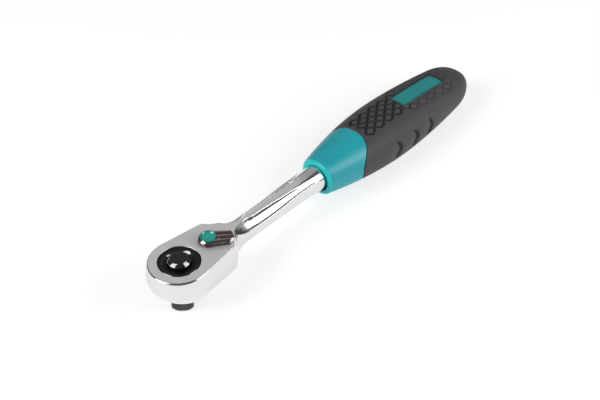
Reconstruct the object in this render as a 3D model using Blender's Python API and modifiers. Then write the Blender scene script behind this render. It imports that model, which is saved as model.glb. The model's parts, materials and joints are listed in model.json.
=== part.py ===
"""Reversible ratchet handle with a 3/8 inch square drive and a quick release.

Lengths are metres.  The origin is the centre of the square drive's end face,
+Z runs up the drive axis and +X runs along the handle towards the grip.
"""
import math

import bmesh
import bpy

MM = 0.001

# Square drive
DRIVE_SIZE = 9.525 * MM
DRIVE_LENGTH = 11.2 * MM
DRIVE_ROUNDING = 0.9 * MM
HUB_LAND = 0.5 * MM
HUB_SHOWN = 0.8 * MM

# Quick release: button, pin, spring and ball
BUTTON_RADIUS = 5.15 * MM
BUTTON_HEIGHT = 5.4 * MM
BUTTON_PROUD = 2.0 * MM
BUTTON_CHAMFER = 1.0 * MM
BUTTON_TRAVEL = 2.2 * MM
BUTTON_SOCKET = 3.0 * MM
BUTTON_SPRING_LENGTH = 6.4 * MM
BUTTON_SPRING_WIRE = 0.32 * MM
BUTTON_SPRING_TURNS = 5
BALL_RADIUS = 1.5 * MM
BALL_PROUD = 0.6 * MM
BALL_HEIGHT = 6.0 * MM
BALL_TRAVEL = 0.75 * MM
BALL_BEARING = 45.0
PIN_LAND = 1.0 * MM
RAMP_LEAD = 0.3 * MM
PIN_END_ROOM = 0.4 * MM

# Gear and the black disc above it
TEETH = 48
TOOTH_DEPTH = 0.75 * MM
TOOTH_TIP = 0.22 * MM
TOOTH_ROOT = 0.24 * MM
GEAR_FACE = 6.8 * MM
DISH_WIDTH = 1.85 * MM
DISH_DEPTH = 0.8 * MM
BAND_WIDTH = 2.05 * MM
DISC_SUNK = 0.1 * MM
SEAL_WIRE = 0.35 * MM
SEAL_DEPTH = 1.5 * MM

# What holds the gear in the head
RING_COVER = 1.1 * MM
RING_THICKNESS = 0.8 * MM
RING_BITE = 0.5 * MM
RING_WIDTH = 1.9 * MM
RING_OPENING = 5.0 * MM
WASHER_THICKNESS = 0.9 * MM

# Pawl and its pin
PAWL_SWING = 8.0
PAWL_HALF_WIDTH = 6.2 * MM
PAWL_PIN_RADIUS = 1.0 * MM
PAWL_FRONT_WEB = 1.15 * MM
PAWL_BACK_WEB = 0.85 * MM
PAWL_HEEL = 0.6 * MM
PAWL_CORNER = 0.8 * MM
PAWL_PIN_BITE = 1.4 * MM
MESH_GAP = 0.05 * MM

# Reversing lever
LEVER_SWING = 41.0
LEVER_BOSS_RADIUS = 4.3 * MM
LEVER_THICKNESS = 2.4 * MM
LEVER_REACH = 10.9 * MM
LEVER_TAIL_WIDTH = 6.4 * MM
LEVER_CORNER = 1.6 * MM
LEVER_VALLEY_RADIUS = 0.9 * MM
STEM_RADIUS = 2.3 * MM
STEM_FOOT_RADIUS = 1.5 * MM
INLAY_RADIUS = 3.45 * MM
INLAY_THICKNESS = 0.8 * MM
STEM_SEAL_WIRE = 0.3 * MM
CLIP_THICKNESS = 0.6 * MM
CLIP_WIDTH = 1.4 * MM
CLIP_COVER = 0.7 * MM
CLIP_GROOVE = 0.3 * MM
PLUNGER_RADIUS = 0.8 * MM
PLUNGER_WALL = 0.25 * MM
PLUNGER_LENGTH = 2.6 * MM
PLUNGER_PROUD = 0.3 * MM
PLUNGER_TRAVEL = 0.6 * MM
DETENT_SPRING_WIRE = 0.1 * MM
DETENT_SPRING_TURNS = 4

# Head forging
HEAD_WALL = 4.3 * MM
HEAD_FOOT_WALL = 1.0 * MM
HEAD_FOOT_POWER = 2.0
HEAD_TOP_WALL = 2.9 * MM
HEAD_TOP_DRAFT = 1.15 * MM
HEAD_TOP_POWER = 2.7
HEAD_TOP_ROUND = 0.3 * MM
SHOULDER_WALL = 4.7 * MM
HEAD_BACK_WALL = 3.2 * MM

# Neck, shank and tang
AXIS_DROP = 7.0 * MM
NECK_LENGTH = 14.9 * MM
NECK_POWER = 2.5
SHANK_LENGTH = 47.7 * MM
SHANK_HALF_WIDTH = 5.2 * MM
SHANK_TOP_HALF_WIDTH = 2.4 * MM
SHANK_TOP_HEIGHT = 6.0 * MM
SHANK_EDGE_HEIGHT = 2.9 * MM
SHANK_SIDE_DEPTH = 1.6 * MM
SHANK_UNDER_DEPTH = 5.2 * MM
FLUTE_DEPTH = 0.25 * MM
SHANK_ROUND_RADIUS = 6.0 * MM
SHANK_ROUND_RUN = 14.0 * MM
TANG_RADIUS = 4.2 * MM
TANG_FLAT = 3.4 * MM
TANG_LENGTH = 72.0 * MM
TANG_STEP = 8.0 * MM

# Grip
COLLAR_RADIUS = 8.75 * MM
COLLAR_LIP = 1.2 * MM
COLLAR_MOUTH_GAP = 0.8 * MM
GRIP_LENGTH = 111.4 * MM
SWELL_AT = 50.0 * MM
SWELL_HALF_WIDTH = 16.0 * MM
SWELL_HALF_HEIGHT = 12.8 * MM
BUTT_AT = 96.0 * MM
BUTT_HALF_WIDTH = 12.5 * MM
BUTT_HALF_HEIGHT = 10.2 * MM
SWELL_RISE_POWER = 1.9
SWELL_FALL_POWER = 1.8
BUTT_ROUND_POWER = 2.4
BUTT_TIP = 0.02 * MM
GRIP_SQUARENESS = 2.3
COLLAR_SIDE_LENGTH = 19.3 * MM
COLLAR_ARCH = 8.3 * MM
COLLAR_ARCH_POWER = 1.6
CORE_ROD_RADIUS = 7.6 * MM
CORE_ROD_LENGTH = 92.0 * MM
BADGE_AT = 59.2 * MM
BADGE_LENGTH = 31.5 * MM
BADGE_WIDTH = 8.6 * MM
BADGE_THICKNESS = 1.2 * MM
BADGE_SUNK = 0.5 * MM

# Clearances
RUN_GAP = 0.2 * MM
END_PLAY = 0.3 * MM
FIT_GAP = 0.1 * MM
SKIN_GAP = 0.3 * MM

# Facets
TURN_STEPS = 48
SMALL_STEPS = 20
WIRE_STEPS = 8
COIL_STEPS = 10
GRIP_STEPS = 32
ROUND_STEPS = 4
FLUTE_STEPS = 4
SIDE_STEPS = 6
NECK_RINGS = 8
BELLY_RINGS = 5
COLLAR_RINGS = 4
SLEEVE_RINGS = 5
BUTT_RINGS = 8
CUT_PAST = 2.0 * MM
MERGE = 1e-6

# Heights, from the drive's end face up
HEAD_BOTTOM = DRIVE_LENGTH + HUB_SHOWN
RING_BOTTOM = HEAD_BOTTOM + RING_COVER
RING_TOP = RING_BOTTOM + RING_THICKNESS
WASHER_BOTTOM = RING_TOP + END_PLAY
WASHER_TOP = WASHER_BOTTOM + WASHER_THICKNESS
GEAR_BOTTOM = WASHER_TOP + END_PLAY
GEAR_TOP = GEAR_BOTTOM + GEAR_FACE
CEILING = GEAR_TOP + END_PLAY
HEAD_TOP = CEILING + HEAD_TOP_WALL
DISC_TOP = HEAD_TOP - DISC_SUNK
AXIS_HEIGHT = HEAD_TOP - AXIS_DROP
BUTTON_TOP = HEAD_TOP + BUTTON_PROUD
BUTTON_BOTTOM = BUTTON_TOP - BUTTON_HEIGHT
SPRING_SEAT = BUTTON_BOTTOM - BUTTON_SPRING_LENGTH
LEVER_BOTTOM = HEAD_TOP + END_PLAY
LEVER_TOP = LEVER_BOTTOM + LEVER_THICKNESS
PAWL_FLOOR = GEAR_BOTTOM
PAWL_BOTTOM = PAWL_FLOOR + END_PLAY
PLUNGER_HEIGHT = (PAWL_BOTTOM + GEAR_TOP) / 2
CLIP_BOTTOM = HEAD_BOTTOM + CLIP_COVER
CLIP_TOP = CLIP_BOTTOM + CLIP_THICKNESS

# Radii, from the drive axis out
BUTTON_BORE = BUTTON_RADIUS + RUN_GAP
BAND_INNER = BUTTON_BORE + DISH_WIDTH
DISC_RADIUS = BAND_INNER + BAND_WIDTH
HUB_RADIUS = DRIVE_SIZE / math.sqrt(2) + HUB_LAND
GEAR_ROOT = max(DISC_RADIUS, HUB_RADIUS) + FIT_GAP
GEAR_TIP = GEAR_ROOT + TOOTH_DEPTH
HEAD_BORE = GEAR_TIP + RUN_GAP
RING_GROOVE = HEAD_BORE + RING_BITE + FIT_GAP
HEAD_RADIUS = HEAD_BORE + HEAD_WALL

# Places along the handle
PAWL_PIN_X = GEAR_TIP + PAWL_FRONT_WEB + PAWL_PIN_RADIUS
STEM_SWEEP = STEM_RADIUS + PLUNGER_PROUD
STEM_ROOM = STEM_SWEEP + SKIN_GAP
LEVER_X = PAWL_PIN_X + PAWL_PIN_RADIUS + PAWL_BACK_WEB + STEM_ROOM
SHOULDER_X = LEVER_X + STEM_ROOM + HEAD_BACK_WALL
PAWL_ROOM = PAWL_HALF_WIDTH + 2 * SKIN_GAP
SHOULDER_HALF_WIDTH = PAWL_ROOM + SHOULDER_WALL
NECK_END = SHOULDER_X + NECK_LENGTH
GRIP_START = NECK_END + SHANK_LENGTH
TANG_START = GRIP_START + TANG_STEP
TANG_END = GRIP_START + TANG_LENGTH

# Quick-release ramp: the pin drops by the button's travel while the ball moves in by its own
RAMP_SLOPE = BALL_TRAVEL / BUTTON_TRAVEL
RAMP_ANGLE = math.atan(RAMP_SLOPE)
BALL_CENTRE = DRIVE_SIZE / 2 + BALL_PROUD - BALL_RADIUS
BALL_SHELL = BALL_RADIUS + FIT_GAP
CONTACT_RADIUS = BALL_CENTRE - BALL_SHELL * math.cos(RAMP_ANGLE)
CONTACT_HEIGHT = BALL_HEIGHT - BALL_SHELL * math.sin(RAMP_ANGLE)
PIN_RADIUS = CONTACT_RADIUS + RAMP_SLOPE * RAMP_LEAD
LAND_TOP = CONTACT_HEIGHT - RAMP_LEAD
LAND_BOTTOM = LAND_TOP - PIN_LAND
NECK_BOTTOM = CONTACT_HEIGHT + BUTTON_TRAVEL + RAMP_LEAD
PIN_NECK_RADIUS = CONTACT_RADIUS - RAMP_SLOPE * (BUTTON_TRAVEL + RAMP_LEAD)
PIN_SHOULDER = BALL_HEIGHT + BALL_SHELL + BUTTON_TRAVEL + RAMP_LEAD
PIN_TOP = BUTTON_BOTTOM + BUTTON_SOCKET - FIT_GAP
PIN_BORE = PIN_RADIUS + FIT_GAP
PIN_BORE_END = LAND_BOTTOM - BUTTON_TRAVEL - PIN_END_ROOM


# Scene and materials

def clear_scene():
    for obj in list(bpy.data.objects):
        bpy.data.objects.remove(obj, do_unlink=True)


def new_collection(name):
    collection = bpy.data.collections.new(name)
    bpy.context.scene.collection.children.link(collection)
    return collection


def new_material(name, colour, roughness, metallic):
    material = bpy.data.materials.new(name)
    material.use_nodes = True
    shader = material.node_tree.nodes["Principled BSDF"]
    shader.inputs["Base Color"].default_value = (*colour, 1.0)
    shader.inputs["Roughness"].default_value = roughness
    shader.inputs["Metallic"].default_value = metallic
    return material


# Shape helpers

def add_object(name, mesh, collection, material=None):
    obj = bpy.data.objects.new(name, mesh)
    collection.objects.link(obj)
    if material:
        mesh.materials.append(material)
    return obj


def as_cutter(obj):
    obj.hide_render = True
    obj.display_type = "WIRE"
    return obj


def turned(name, profile, steps, collection, material=None, closed=False):
    """Turn (radius, height) points about Z; the points run down the outer side."""
    points = [(radius, 0.0, height) for radius, height in profile]
    edges = [(i, i + 1) for i in range(len(points) - 1)]
    if closed:
        edges.append((len(points) - 1, 0))
    mesh = bpy.data.meshes.new(name)
    mesh.from_pydata(points, edges, [])
    obj = add_object(name, mesh, collection, material)
    screw = obj.modifiers.new("Turn", "SCREW")
    screw.steps = steps
    screw.render_steps = steps
    screw.use_merge_vertices = True
    screw.merge_threshold = MERGE
    return obj


def rod_profile(radius, bottom, top):
    return [(0.0, top), (radius, top), (radius, bottom), (0.0, bottom)]


def ring_profile(inner, outer, bottom, top):
    return [(inner, top), (outer, top), (outer, bottom), (inner, bottom)]


def wire_profile(centre_radius, wire, height):
    turn = 2 * math.pi / WIRE_STEPS
    return [
        (centre_radius + wire * math.sin(turn * i), height + wire * math.cos(turn * i))
        for i in range(WIRE_STEPS)
    ]


def box(name, low, high, collection, material=None):
    mesh = bpy.data.meshes.new(name)
    work = bmesh.new()
    bmesh.ops.create_cube(work, size=1.0)
    for vert in work.verts:
        for axis in range(3):
            vert.co[axis] = low[axis] + (vert.co[axis] + 0.5) * (high[axis] - low[axis])
    work.to_mesh(mesh)
    work.free()
    return add_object(name, mesh, collection, material)


def bevelled(obj, width, segments):
    bevel = obj.modifiers.new("Rounding", "BEVEL")
    bevel.width = width
    bevel.segments = segments
    bevel.limit_method = "ANGLE"
    return obj


def loft(name, rings, collection, material=None):
    """Skin a row of rings of equally many points and close both ends."""
    mesh = bpy.data.meshes.new(name)
    work = bmesh.new()
    rows = [[work.verts.new(point) for point in ring] for ring in rings]
    count = len(rings[0])
    for row, following in zip(rows, rows[1:]):
        for i in range(count):
            j = (i + 1) % count
            work.faces.new((row[i], row[j], following[j], following[i]))
    work.faces.new(rows[0][::-1])
    work.faces.new(rows[-1])
    bmesh.ops.recalc_face_normals(work, faces=work.faces)
    work.to_mesh(mesh)
    work.free()
    return add_object(name, mesh, collection, material)


def plate(name, outline, bottom, top, collection, material=None):
    """A flat outline, extruded between two heights and made a mesh."""
    curve = bpy.data.curves.new(name, "CURVE")
    curve.dimensions = "2D"
    curve.fill_mode = "BOTH"
    curve.extrude = (top - bottom) / 2
    spline = curve.splines.new("POLY")
    spline.points.add(len(outline) - 1)
    for point, (x, y) in zip(spline.points, outline):
        point.co = (x, y, 0.0, 1.0)
    spline.use_cyclic_u = True
    obj = curve_to_mesh(name, curve, collection, material)
    for vert in obj.data.vertices:
        vert.co.z += (top + bottom) / 2
    return obj


def wire_coil(name, radius, wire, bottom, top, turns, collection, material):
    """A coil spring about Z, its wire's middle between two heights."""
    count = turns * COIL_STEPS
    curve = bpy.data.curves.new(name, "CURVE")
    curve.dimensions = "3D"
    curve.bevel_depth = wire
    curve.bevel_resolution = 1
    curve.use_fill_caps = True
    spline = curve.splines.new("POLY")
    spline.points.add(count)
    for i, point in enumerate(spline.points):
        angle = 2 * math.pi * i / COIL_STEPS
        height = bottom + (top - bottom) * i / count
        point.co = (radius * math.cos(angle), radius * math.sin(angle), height, 1.0)
    return curve_to_mesh(name, curve, collection, material)


def curve_to_mesh(name, curve, collection, material):
    source = bpy.data.objects.new(name + "_curve", curve)
    collection.objects.link(source)
    bpy.context.view_layer.update()
    evaluated = source.evaluated_get(bpy.context.evaluated_depsgraph_get())
    mesh = bpy.data.meshes.new_from_object(evaluated)
    work = bmesh.new()
    work.from_mesh(mesh)
    bmesh.ops.remove_doubles(work, verts=work.verts, dist=MERGE)
    bmesh.ops.recalc_face_normals(work, faces=work.faces)
    work.to_mesh(mesh)
    work.free()
    mesh.name = name
    mesh.materials.clear()
    bpy.data.objects.remove(source, do_unlink=True)
    return add_object(name, mesh, collection, material)


def combine(obj, other, operation):
    boolean = obj.modifiers.new(other.name, "BOOLEAN")
    boolean.operation = operation
    boolean.solver = "EXACT"
    boolean.object = as_cutter(other)


def cut(obj, cutter):
    combine(obj, cutter, "DIFFERENCE")


def join(obj, other):
    combine(obj, other, "UNION")


def arc(centre_x, centre_y, radius, start, end, count):
    """Points on an arc between two angles in degrees, both ends included."""
    points = []
    for i in range(count + 1):
        angle = math.radians(start + (end - start) * i / count)
        points.append((centre_x + radius * math.cos(angle), centre_y + radius * math.sin(angle)))
    return points


def axis_empty(name, x, angle, collection):
    empty = bpy.data.objects.new(name, None)
    empty.location.x = x
    empty.rotation_euler.z = math.radians(angle)
    collection.objects.link(empty)
    return empty


def carried(obj, empty):
    obj.parent = empty
    return obj


# Head, neck, shank and tang

def head_ring(inset, height):
    """The pear-shaped plan of the head, drawn in by inset."""
    radius = HEAD_RADIUS - inset
    half = SHOULDER_HALF_WIDTH - inset
    to_corner = math.atan2(half, SHOULDER_X)
    tangent = to_corner + math.acos(radius / math.hypot(SHOULDER_X, half))
    start = math.degrees(tangent)
    outline = arc(0.0, 0.0, radius, start, 360.0 - start, TURN_STEPS // 2)
    outline += [(SHOULDER_X, -half), (SHOULDER_X, half)]
    return [(x, y, height) for x, y in outline]


def head_rings():
    """The head from its foot up: widest at the handle's axis, drawn in below and above."""
    foot_draft = HEAD_WALL - HEAD_FOOT_WALL
    top_rise = AXIS_DROP - HEAD_TOP_ROUND
    rings = []
    for i in range(BELLY_RINGS):
        share = 1.0 - i / BELLY_RINGS
        height = AXIS_HEIGHT + (HEAD_BOTTOM - AXIS_HEIGHT) * share
        rings.append(head_ring(foot_draft * share ** HEAD_FOOT_POWER, height))
    for i in range(BELLY_RINGS + 1):
        share = i / BELLY_RINGS
        rings.append(head_ring(HEAD_TOP_DRAFT * share ** HEAD_TOP_POWER, AXIS_HEIGHT + top_rise * share))
    rings.append(head_ring(HEAD_TOP_DRAFT + HEAD_TOP_ROUND, HEAD_TOP))
    return rings


def half_section(top_half, top, half, lean, edge, side, under, flute):
    """Half a bar section from the middle of its flat top round to the middle of its underside.

    The wall leans out by lean from the edge down to its full half width.
    """
    wall = half - lean
    points = [(0.0, top), (top_half, top)]
    for i in range(1, FLUTE_STEPS):
        share = i / FLUTE_STEPS
        hollow = flute * math.sin(math.pi * share) / math.sqrt(2)
        across = top_half + (wall - top_half) * share - hollow
        points.append((across, top + (edge - top) * share - hollow))
    points.append((wall, edge))
    for x, y in arc(0.0, 0.0, 1.0, 0.0, -90.0, SIDE_STEPS):
        points.append((half * x, -side + (under - side) * y))
    return points


def round_half(radius, flat, count):
    points = []
    for i in range(count):
        angle = math.pi / 2 - math.pi * i / (count - 1)
        height = max(-flat, min(flat, radius * math.sin(angle)))
        points.append((radius * math.cos(angle), height))
    return points


def whole_section(x, half):
    ring = [(x, y, AXIS_HEIGHT + z) for y, z in half]
    ring += [(x, -y, AXIS_HEIGHT + z) for y, z in half[-2:0:-1]]
    return ring


def shank_half(x):
    """The bar's half section: wide at the head, fluted along the shank, round at the collar."""
    along = min(1.0, max(0.0, (x - SHOULDER_X) / NECK_LENGTH))
    spread = (1.0 - along) ** NECK_POWER
    drop = AXIS_DROP - HEAD_TOP_ROUND
    depth = AXIS_HEIGHT - HEAD_BOTTOM - HEAD_TOP_ROUND
    shoulder = SHOULDER_HALF_WIDTH - HEAD_TOP_ROUND
    shoulder_top = shoulder - HEAD_TOP_DRAFT - HEAD_TOP_ROUND
    fluted = half_section(
        SHANK_TOP_HALF_WIDTH + (shoulder_top - SHANK_TOP_HALF_WIDTH) * spread,
        SHANK_TOP_HEIGHT + (drop - SHANK_TOP_HEIGHT) * spread,
        SHANK_HALF_WIDTH + (shoulder - SHANK_HALF_WIDTH) * spread,
        HEAD_TOP_DRAFT * spread,
        SHANK_EDGE_HEIGHT + (drop - 2 * HEAD_TOP_ROUND - SHANK_EDGE_HEIGHT) * spread,
        SHANK_SIDE_DEPTH,
        SHANK_UNDER_DEPTH + (depth - SHANK_UNDER_DEPTH) * spread,
        FLUTE_DEPTH * along,
    )
    circle = round_half(SHANK_ROUND_RADIUS, SHANK_ROUND_RADIUS, len(fluted))
    blend = min(1.0, max(0.0, (x - GRIP_START) / SHANK_ROUND_RUN + 1.0))
    return [
        (a[0] + (b[0] - a[0]) * blend, a[1] + (b[1] - a[1]) * blend)
        for a, b in zip(fluted, circle)
    ]


def shank_rings():
    rings = []
    inside = SHOULDER_X - HEAD_BACK_WALL / 2
    rings.append(whole_section(inside, shank_half(SHOULDER_X)))
    for i in range(NECK_RINGS + 1):
        x = SHOULDER_X + NECK_LENGTH * i / NECK_RINGS
        rings.append(whole_section(x, shank_half(x)))
    for i in range(ROUND_STEPS + 1):
        x = GRIP_START - SHANK_ROUND_RUN * (1 - i / ROUND_STEPS)
        rings.append(whole_section(x, shank_half(x)))
    rings.append(whole_section(TANG_START, shank_half(GRIP_START)))
    count = len(shank_half(GRIP_START))
    for x in (TANG_START + END_PLAY, TANG_END):
        rings.append(whole_section(x, round_half(TANG_RADIUS, TANG_FLAT, count)))
    return rings


def make_head(parts, cutters, steel):
    body = loft("head_body", head_rings(), parts, steel)
    join(body, loft("shank_bar", shank_rings(), cutters))
    low = HEAD_BOTTOM - CUT_PAST
    high = HEAD_TOP + CUT_PAST
    groove_bottom = RING_BOTTOM - FIT_GAP
    groove_top = RING_TOP + FIT_GAP
    disc_hole = DISC_RADIUS + RUN_GAP
    cut(body, turned("gear_bore", [
        (0.0, high), (disc_hole, high), (disc_hole, CEILING), (HEAD_BORE, CEILING),
        (HEAD_BORE, groove_top), (RING_GROOVE, groove_top), (RING_GROOVE, groove_bottom),
        (HEAD_BORE, groove_bottom), (HEAD_BORE, low), (0.0, low),
    ], TURN_STEPS, cutters))
    pocket_low = (0.0, -PAWL_ROOM, PAWL_FLOOR)
    pocket_high = (LEVER_X - STEM_ROOM / 2, PAWL_ROOM, CEILING - FIT_GAP)
    cut(body, box("pawl_pocket", pocket_low, pocket_high, cutters))
    stem_hole = STEM_RADIUS + FIT_GAP
    foot_hole = STEM_FOOT_RADIUS + FIT_GAP
    stem_floor = PAWL_FLOOR - FIT_GAP
    stem_ceiling = CEILING - 2 * FIT_GAP
    clip_ceiling = CLIP_TOP + END_PLAY
    clip_room = STEM_FOOT_RADIUS - CLIP_GROOVE + FIT_GAP + CLIP_WIDTH + END_PLAY
    stem_bore = turned("stem_bore", [
        (0.0, high), (stem_hole, high), (stem_hole, stem_ceiling), (STEM_ROOM, stem_ceiling),
        (STEM_ROOM, stem_floor), (foot_hole, stem_floor), (foot_hole, clip_ceiling),
        (clip_room, clip_ceiling), (clip_room, low), (0.0, low),
    ], SMALL_STEPS, cutters)
    stem_bore.location.x = LEVER_X
    cut(body, stem_bore)
    pin_hole = rod_profile(PAWL_PIN_RADIUS + FIT_GAP, low, CEILING + PAWL_PIN_BITE + FIT_GAP)
    pin_bore = turned("pawl_pin_bore", pin_hole, SMALL_STEPS, cutters)
    pin_bore.location.x = PAWL_PIN_X
    cut(body, pin_bore)


# Drive gear and what turns with it

def gear_outline(grow):
    """The toothed rim, with a tooth on +X, grown all round by grow."""
    pitch = 2 * math.pi / TEETH
    slant = math.atan2(GEAR_ROOT * pitch - TOOTH_ROOT - TOOTH_TIP, 2 * TOOTH_DEPTH)
    widen = grow * (1.0 - math.sin(slant)) / math.cos(slant)
    tip = GEAR_TIP + grow
    root = GEAR_ROOT + grow
    half_tip = (TOOTH_TIP / 2 + widen) / tip
    half_root = pitch / 2 - (TOOTH_ROOT / 2 - widen) / root
    points = []
    for i in range(TEETH):
        middle = pitch * i
        for radius, turn in ((root, -half_root), (tip, -half_tip), (tip, half_tip), (root, half_root)):
            points.append((radius * math.cos(middle + turn), radius * math.sin(middle + turn)))
    return points


def make_drive(parts, cutters, black, dark_steel, spring_steel, rubber):
    axis = axis_empty("drive_axis", 0.0, 0.0, parts)
    seal_middle = DISC_TOP - SEAL_DEPTH
    seal_half = SEAL_WIRE + FIT_GAP
    seal_groove = DISC_RADIUS - 2 * SEAL_WIRE
    inside_gear = (GEAR_BOTTOM + GEAR_TOP) / 2
    gear = turned("drive_gear", [
        (0.0, DISC_TOP), (DISC_RADIUS, DISC_TOP), (DISC_RADIUS, seal_middle + seal_half),
        (seal_groove, seal_middle + seal_half), (seal_groove, seal_middle - seal_half),
        (DISC_RADIUS, seal_middle - seal_half), (DISC_RADIUS, inside_gear),
        (HUB_RADIUS, inside_gear), (HUB_RADIUS, DRIVE_LENGTH), (0.0, DRIVE_LENGTH),
    ], TURN_STEPS, parts, black)
    carried(gear, axis)
    join(gear, plate("gear_rim", gear_outline(0.0), GEAR_BOTTOM, GEAR_TOP, cutters))
    half = DRIVE_SIZE / 2
    square = box("drive_square", (-half, -half, 0.0), (half, half, HEAD_BOTTOM + HUB_LAND), cutters)
    square.rotation_euler.z = math.radians(BALL_BEARING)
    join(gear, bevelled(square, DRIVE_ROUNDING, ROUND_STEPS - 1))
    dish_floor = DISC_TOP - DISH_DEPTH
    cut(gear, turned("release_bore", [
        (0.0, DISC_TOP + CUT_PAST), (BAND_INNER, DISC_TOP + CUT_PAST), (BAND_INNER, DISC_TOP),
        (BAND_INNER - DISH_DEPTH, dish_floor), (BUTTON_BORE, dish_floor), (BUTTON_BORE, SPRING_SEAT),
        (PIN_BORE, SPRING_SEAT), (PIN_BORE, PIN_BORE_END), (0.0, PIN_BORE_END),
    ], TURN_STEPS, cutters))
    make_ball(parts, cutters, axis, gear, spring_steel)
    seal = wire_profile(seal_groove + SEAL_WIRE + FIT_GAP, SEAL_WIRE, seal_middle)
    carried(turned("gear_seal_ring", seal, TURN_STEPS, parts, rubber, closed=True), axis)
    make_release(parts, axis, black, dark_steel, spring_steel)


def make_ball(parts, cutters, axis, gear, steel):
    """The ball stands in a hole across the drive whose mouth is staked narrower than the ball."""
    hole = BALL_RADIUS + FIT_GAP
    face = DRIVE_SIZE / 2
    mouth = math.sqrt(BALL_RADIUS ** 2 - (BALL_RADIUS - BALL_PROUD) ** 2) + 2 * FIT_GAP
    stake = face - (BALL_RADIUS - BALL_PROUD) / 2
    cross_hole = turned("ball_hole", [
        (0.0, face + CUT_PAST), (mouth, face + CUT_PAST), (mouth, face), (hole, stake),
        (hole, PIN_RADIUS / 2), (0.0, PIN_RADIUS / 2),
    ], SMALL_STEPS, cutters)
    cross_hole.rotation_euler = (0.0, math.pi / 2, math.radians(BALL_BEARING))
    cross_hole.location.z = BALL_HEIGHT
    cut(gear, cross_hole)
    mesh = bpy.data.meshes.new("lock_ball")
    work = bmesh.new()
    bmesh.ops.create_uvsphere(work, u_segments=SMALL_STEPS, v_segments=SMALL_STEPS // 2, radius=BALL_RADIUS)
    work.to_mesh(mesh)
    work.free()
    mesh.shade_smooth()
    ball = carried(add_object("lock_ball", mesh, parts, steel), axis)
    bearing = math.radians(BALL_BEARING)
    ball.location = (BALL_CENTRE * math.cos(bearing), BALL_CENTRE * math.sin(bearing), BALL_HEIGHT)


def make_release(parts, axis, black, dark_steel, spring_steel):
    socket_end = BUTTON_BOTTOM + BUTTON_SOCKET
    socket = PIN_RADIUS + FIT_GAP
    carried(turned("release_button", [
        (0.0, BUTTON_TOP), (BUTTON_RADIUS - BUTTON_CHAMFER, BUTTON_TOP),
        (BUTTON_RADIUS, BUTTON_TOP - BUTTON_CHAMFER), (BUTTON_RADIUS, BUTTON_BOTTOM),
        (socket, BUTTON_BOTTOM), (socket, socket_end), (0.0, socket_end),
    ], TURN_STEPS, parts, black), axis)
    carried(turned("release_pin", [
        (0.0, PIN_TOP), (PIN_RADIUS, PIN_TOP), (PIN_RADIUS, PIN_SHOULDER),
        (PIN_NECK_RADIUS, PIN_SHOULDER), (PIN_NECK_RADIUS, NECK_BOTTOM), (PIN_RADIUS, LAND_TOP),
        (PIN_RADIUS, LAND_BOTTOM), (0.0, LAND_BOTTOM),
    ], SMALL_STEPS, parts, dark_steel), axis)
    reach = BUTTON_SPRING_WIRE + FIT_GAP
    carried(wire_coil(
        "button_spring", (PIN_RADIUS + BUTTON_RADIUS) / 2, BUTTON_SPRING_WIRE,
        SPRING_SEAT + reach, BUTTON_BOTTOM - reach, BUTTON_SPRING_TURNS, parts, spring_steel,
    ), axis)


def make_gear_keepers(parts, cutters, steel, spring_steel):
    inner = HUB_RADIUS + RUN_GAP
    outer = HEAD_BORE - RUN_GAP
    turned("gear_thrust_washer", ring_profile(inner, outer, WASHER_BOTTOM, WASHER_TOP),
           TURN_STEPS, parts, steel, closed=True)
    rim = HEAD_BORE + RING_BITE
    ring = turned("gear_retaining_ring", ring_profile(rim - RING_WIDTH, rim, RING_BOTTOM, RING_TOP),
                  TURN_STEPS, parts, spring_steel, closed=True)
    half = RING_OPENING / 2
    opening = box("ring_opening", (-rim - CUT_PAST, -half, RING_BOTTOM - CUT_PAST),
                  (0.0, half, RING_TOP + CUT_PAST), cutters)
    cut(ring, opening)


# Pawl

def make_pawl(parts, cutters, steel):
    """The rocker, cut by the gear's rim where each of its ends meshes."""
    axis = axis_empty("pawl_axis", PAWL_PIN_X, PAWL_SWING, parts)
    front = GEAR_ROOT - PAWL_PIN_X - PAWL_FRONT_WEB
    back = LEVER_X - PAWL_PIN_X - STEM_ROOM + PAWL_HEEL
    low = (front, -PAWL_HALF_WIDTH, PAWL_BOTTOM)
    high = (back, PAWL_HALF_WIDTH, GEAR_TOP)
    pawl = carried(box("pawl", low, high, parts, steel), axis)
    bevelled(pawl, PAWL_CORNER, ROUND_STEPS // 2)
    past_low = PAWL_BOTTOM - CUT_PAST
    past_high = GEAR_TOP + CUT_PAST
    for name, turn in (("mesh_left", -PAWL_SWING), ("mesh_right", PAWL_SWING)):
        rim = plate(name, gear_outline(MESH_GAP), past_low, past_high, cutters)
        angle = math.radians(turn)
        rim.rotation_euler.z = angle
        rim.location = (-PAWL_PIN_X * math.cos(angle), -PAWL_PIN_X * math.sin(angle), 0.0)
        cut(pawl, carried(rim, axis))
    relief = turned("pawl_relief", rod_profile(GEAR_TIP + RUN_GAP, past_low, past_high), TURN_STEPS, cutters)
    relief.location.x = -PAWL_PIN_X
    cut(pawl, carried(relief, axis))
    saddle = turned("pawl_saddle", rod_profile(STEM_ROOM, past_low, past_high), TURN_STEPS, cutters)
    saddle.location.x = LEVER_X - PAWL_PIN_X
    cut(pawl, carried(saddle, axis))
    eye = rod_profile(PAWL_PIN_RADIUS + FIT_GAP, past_low, past_high)
    cut(pawl, carried(turned("pawl_eye", eye, SMALL_STEPS, cutters), axis))
    rod = rod_profile(PAWL_PIN_RADIUS, HEAD_BOTTOM + CLIP_COVER, CEILING + PAWL_PIN_BITE)
    pin = turned("pawl_pin", rod, SMALL_STEPS, parts, steel)
    pin.location.x = PAWL_PIN_X


# Reversing lever and what turns with it

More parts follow.
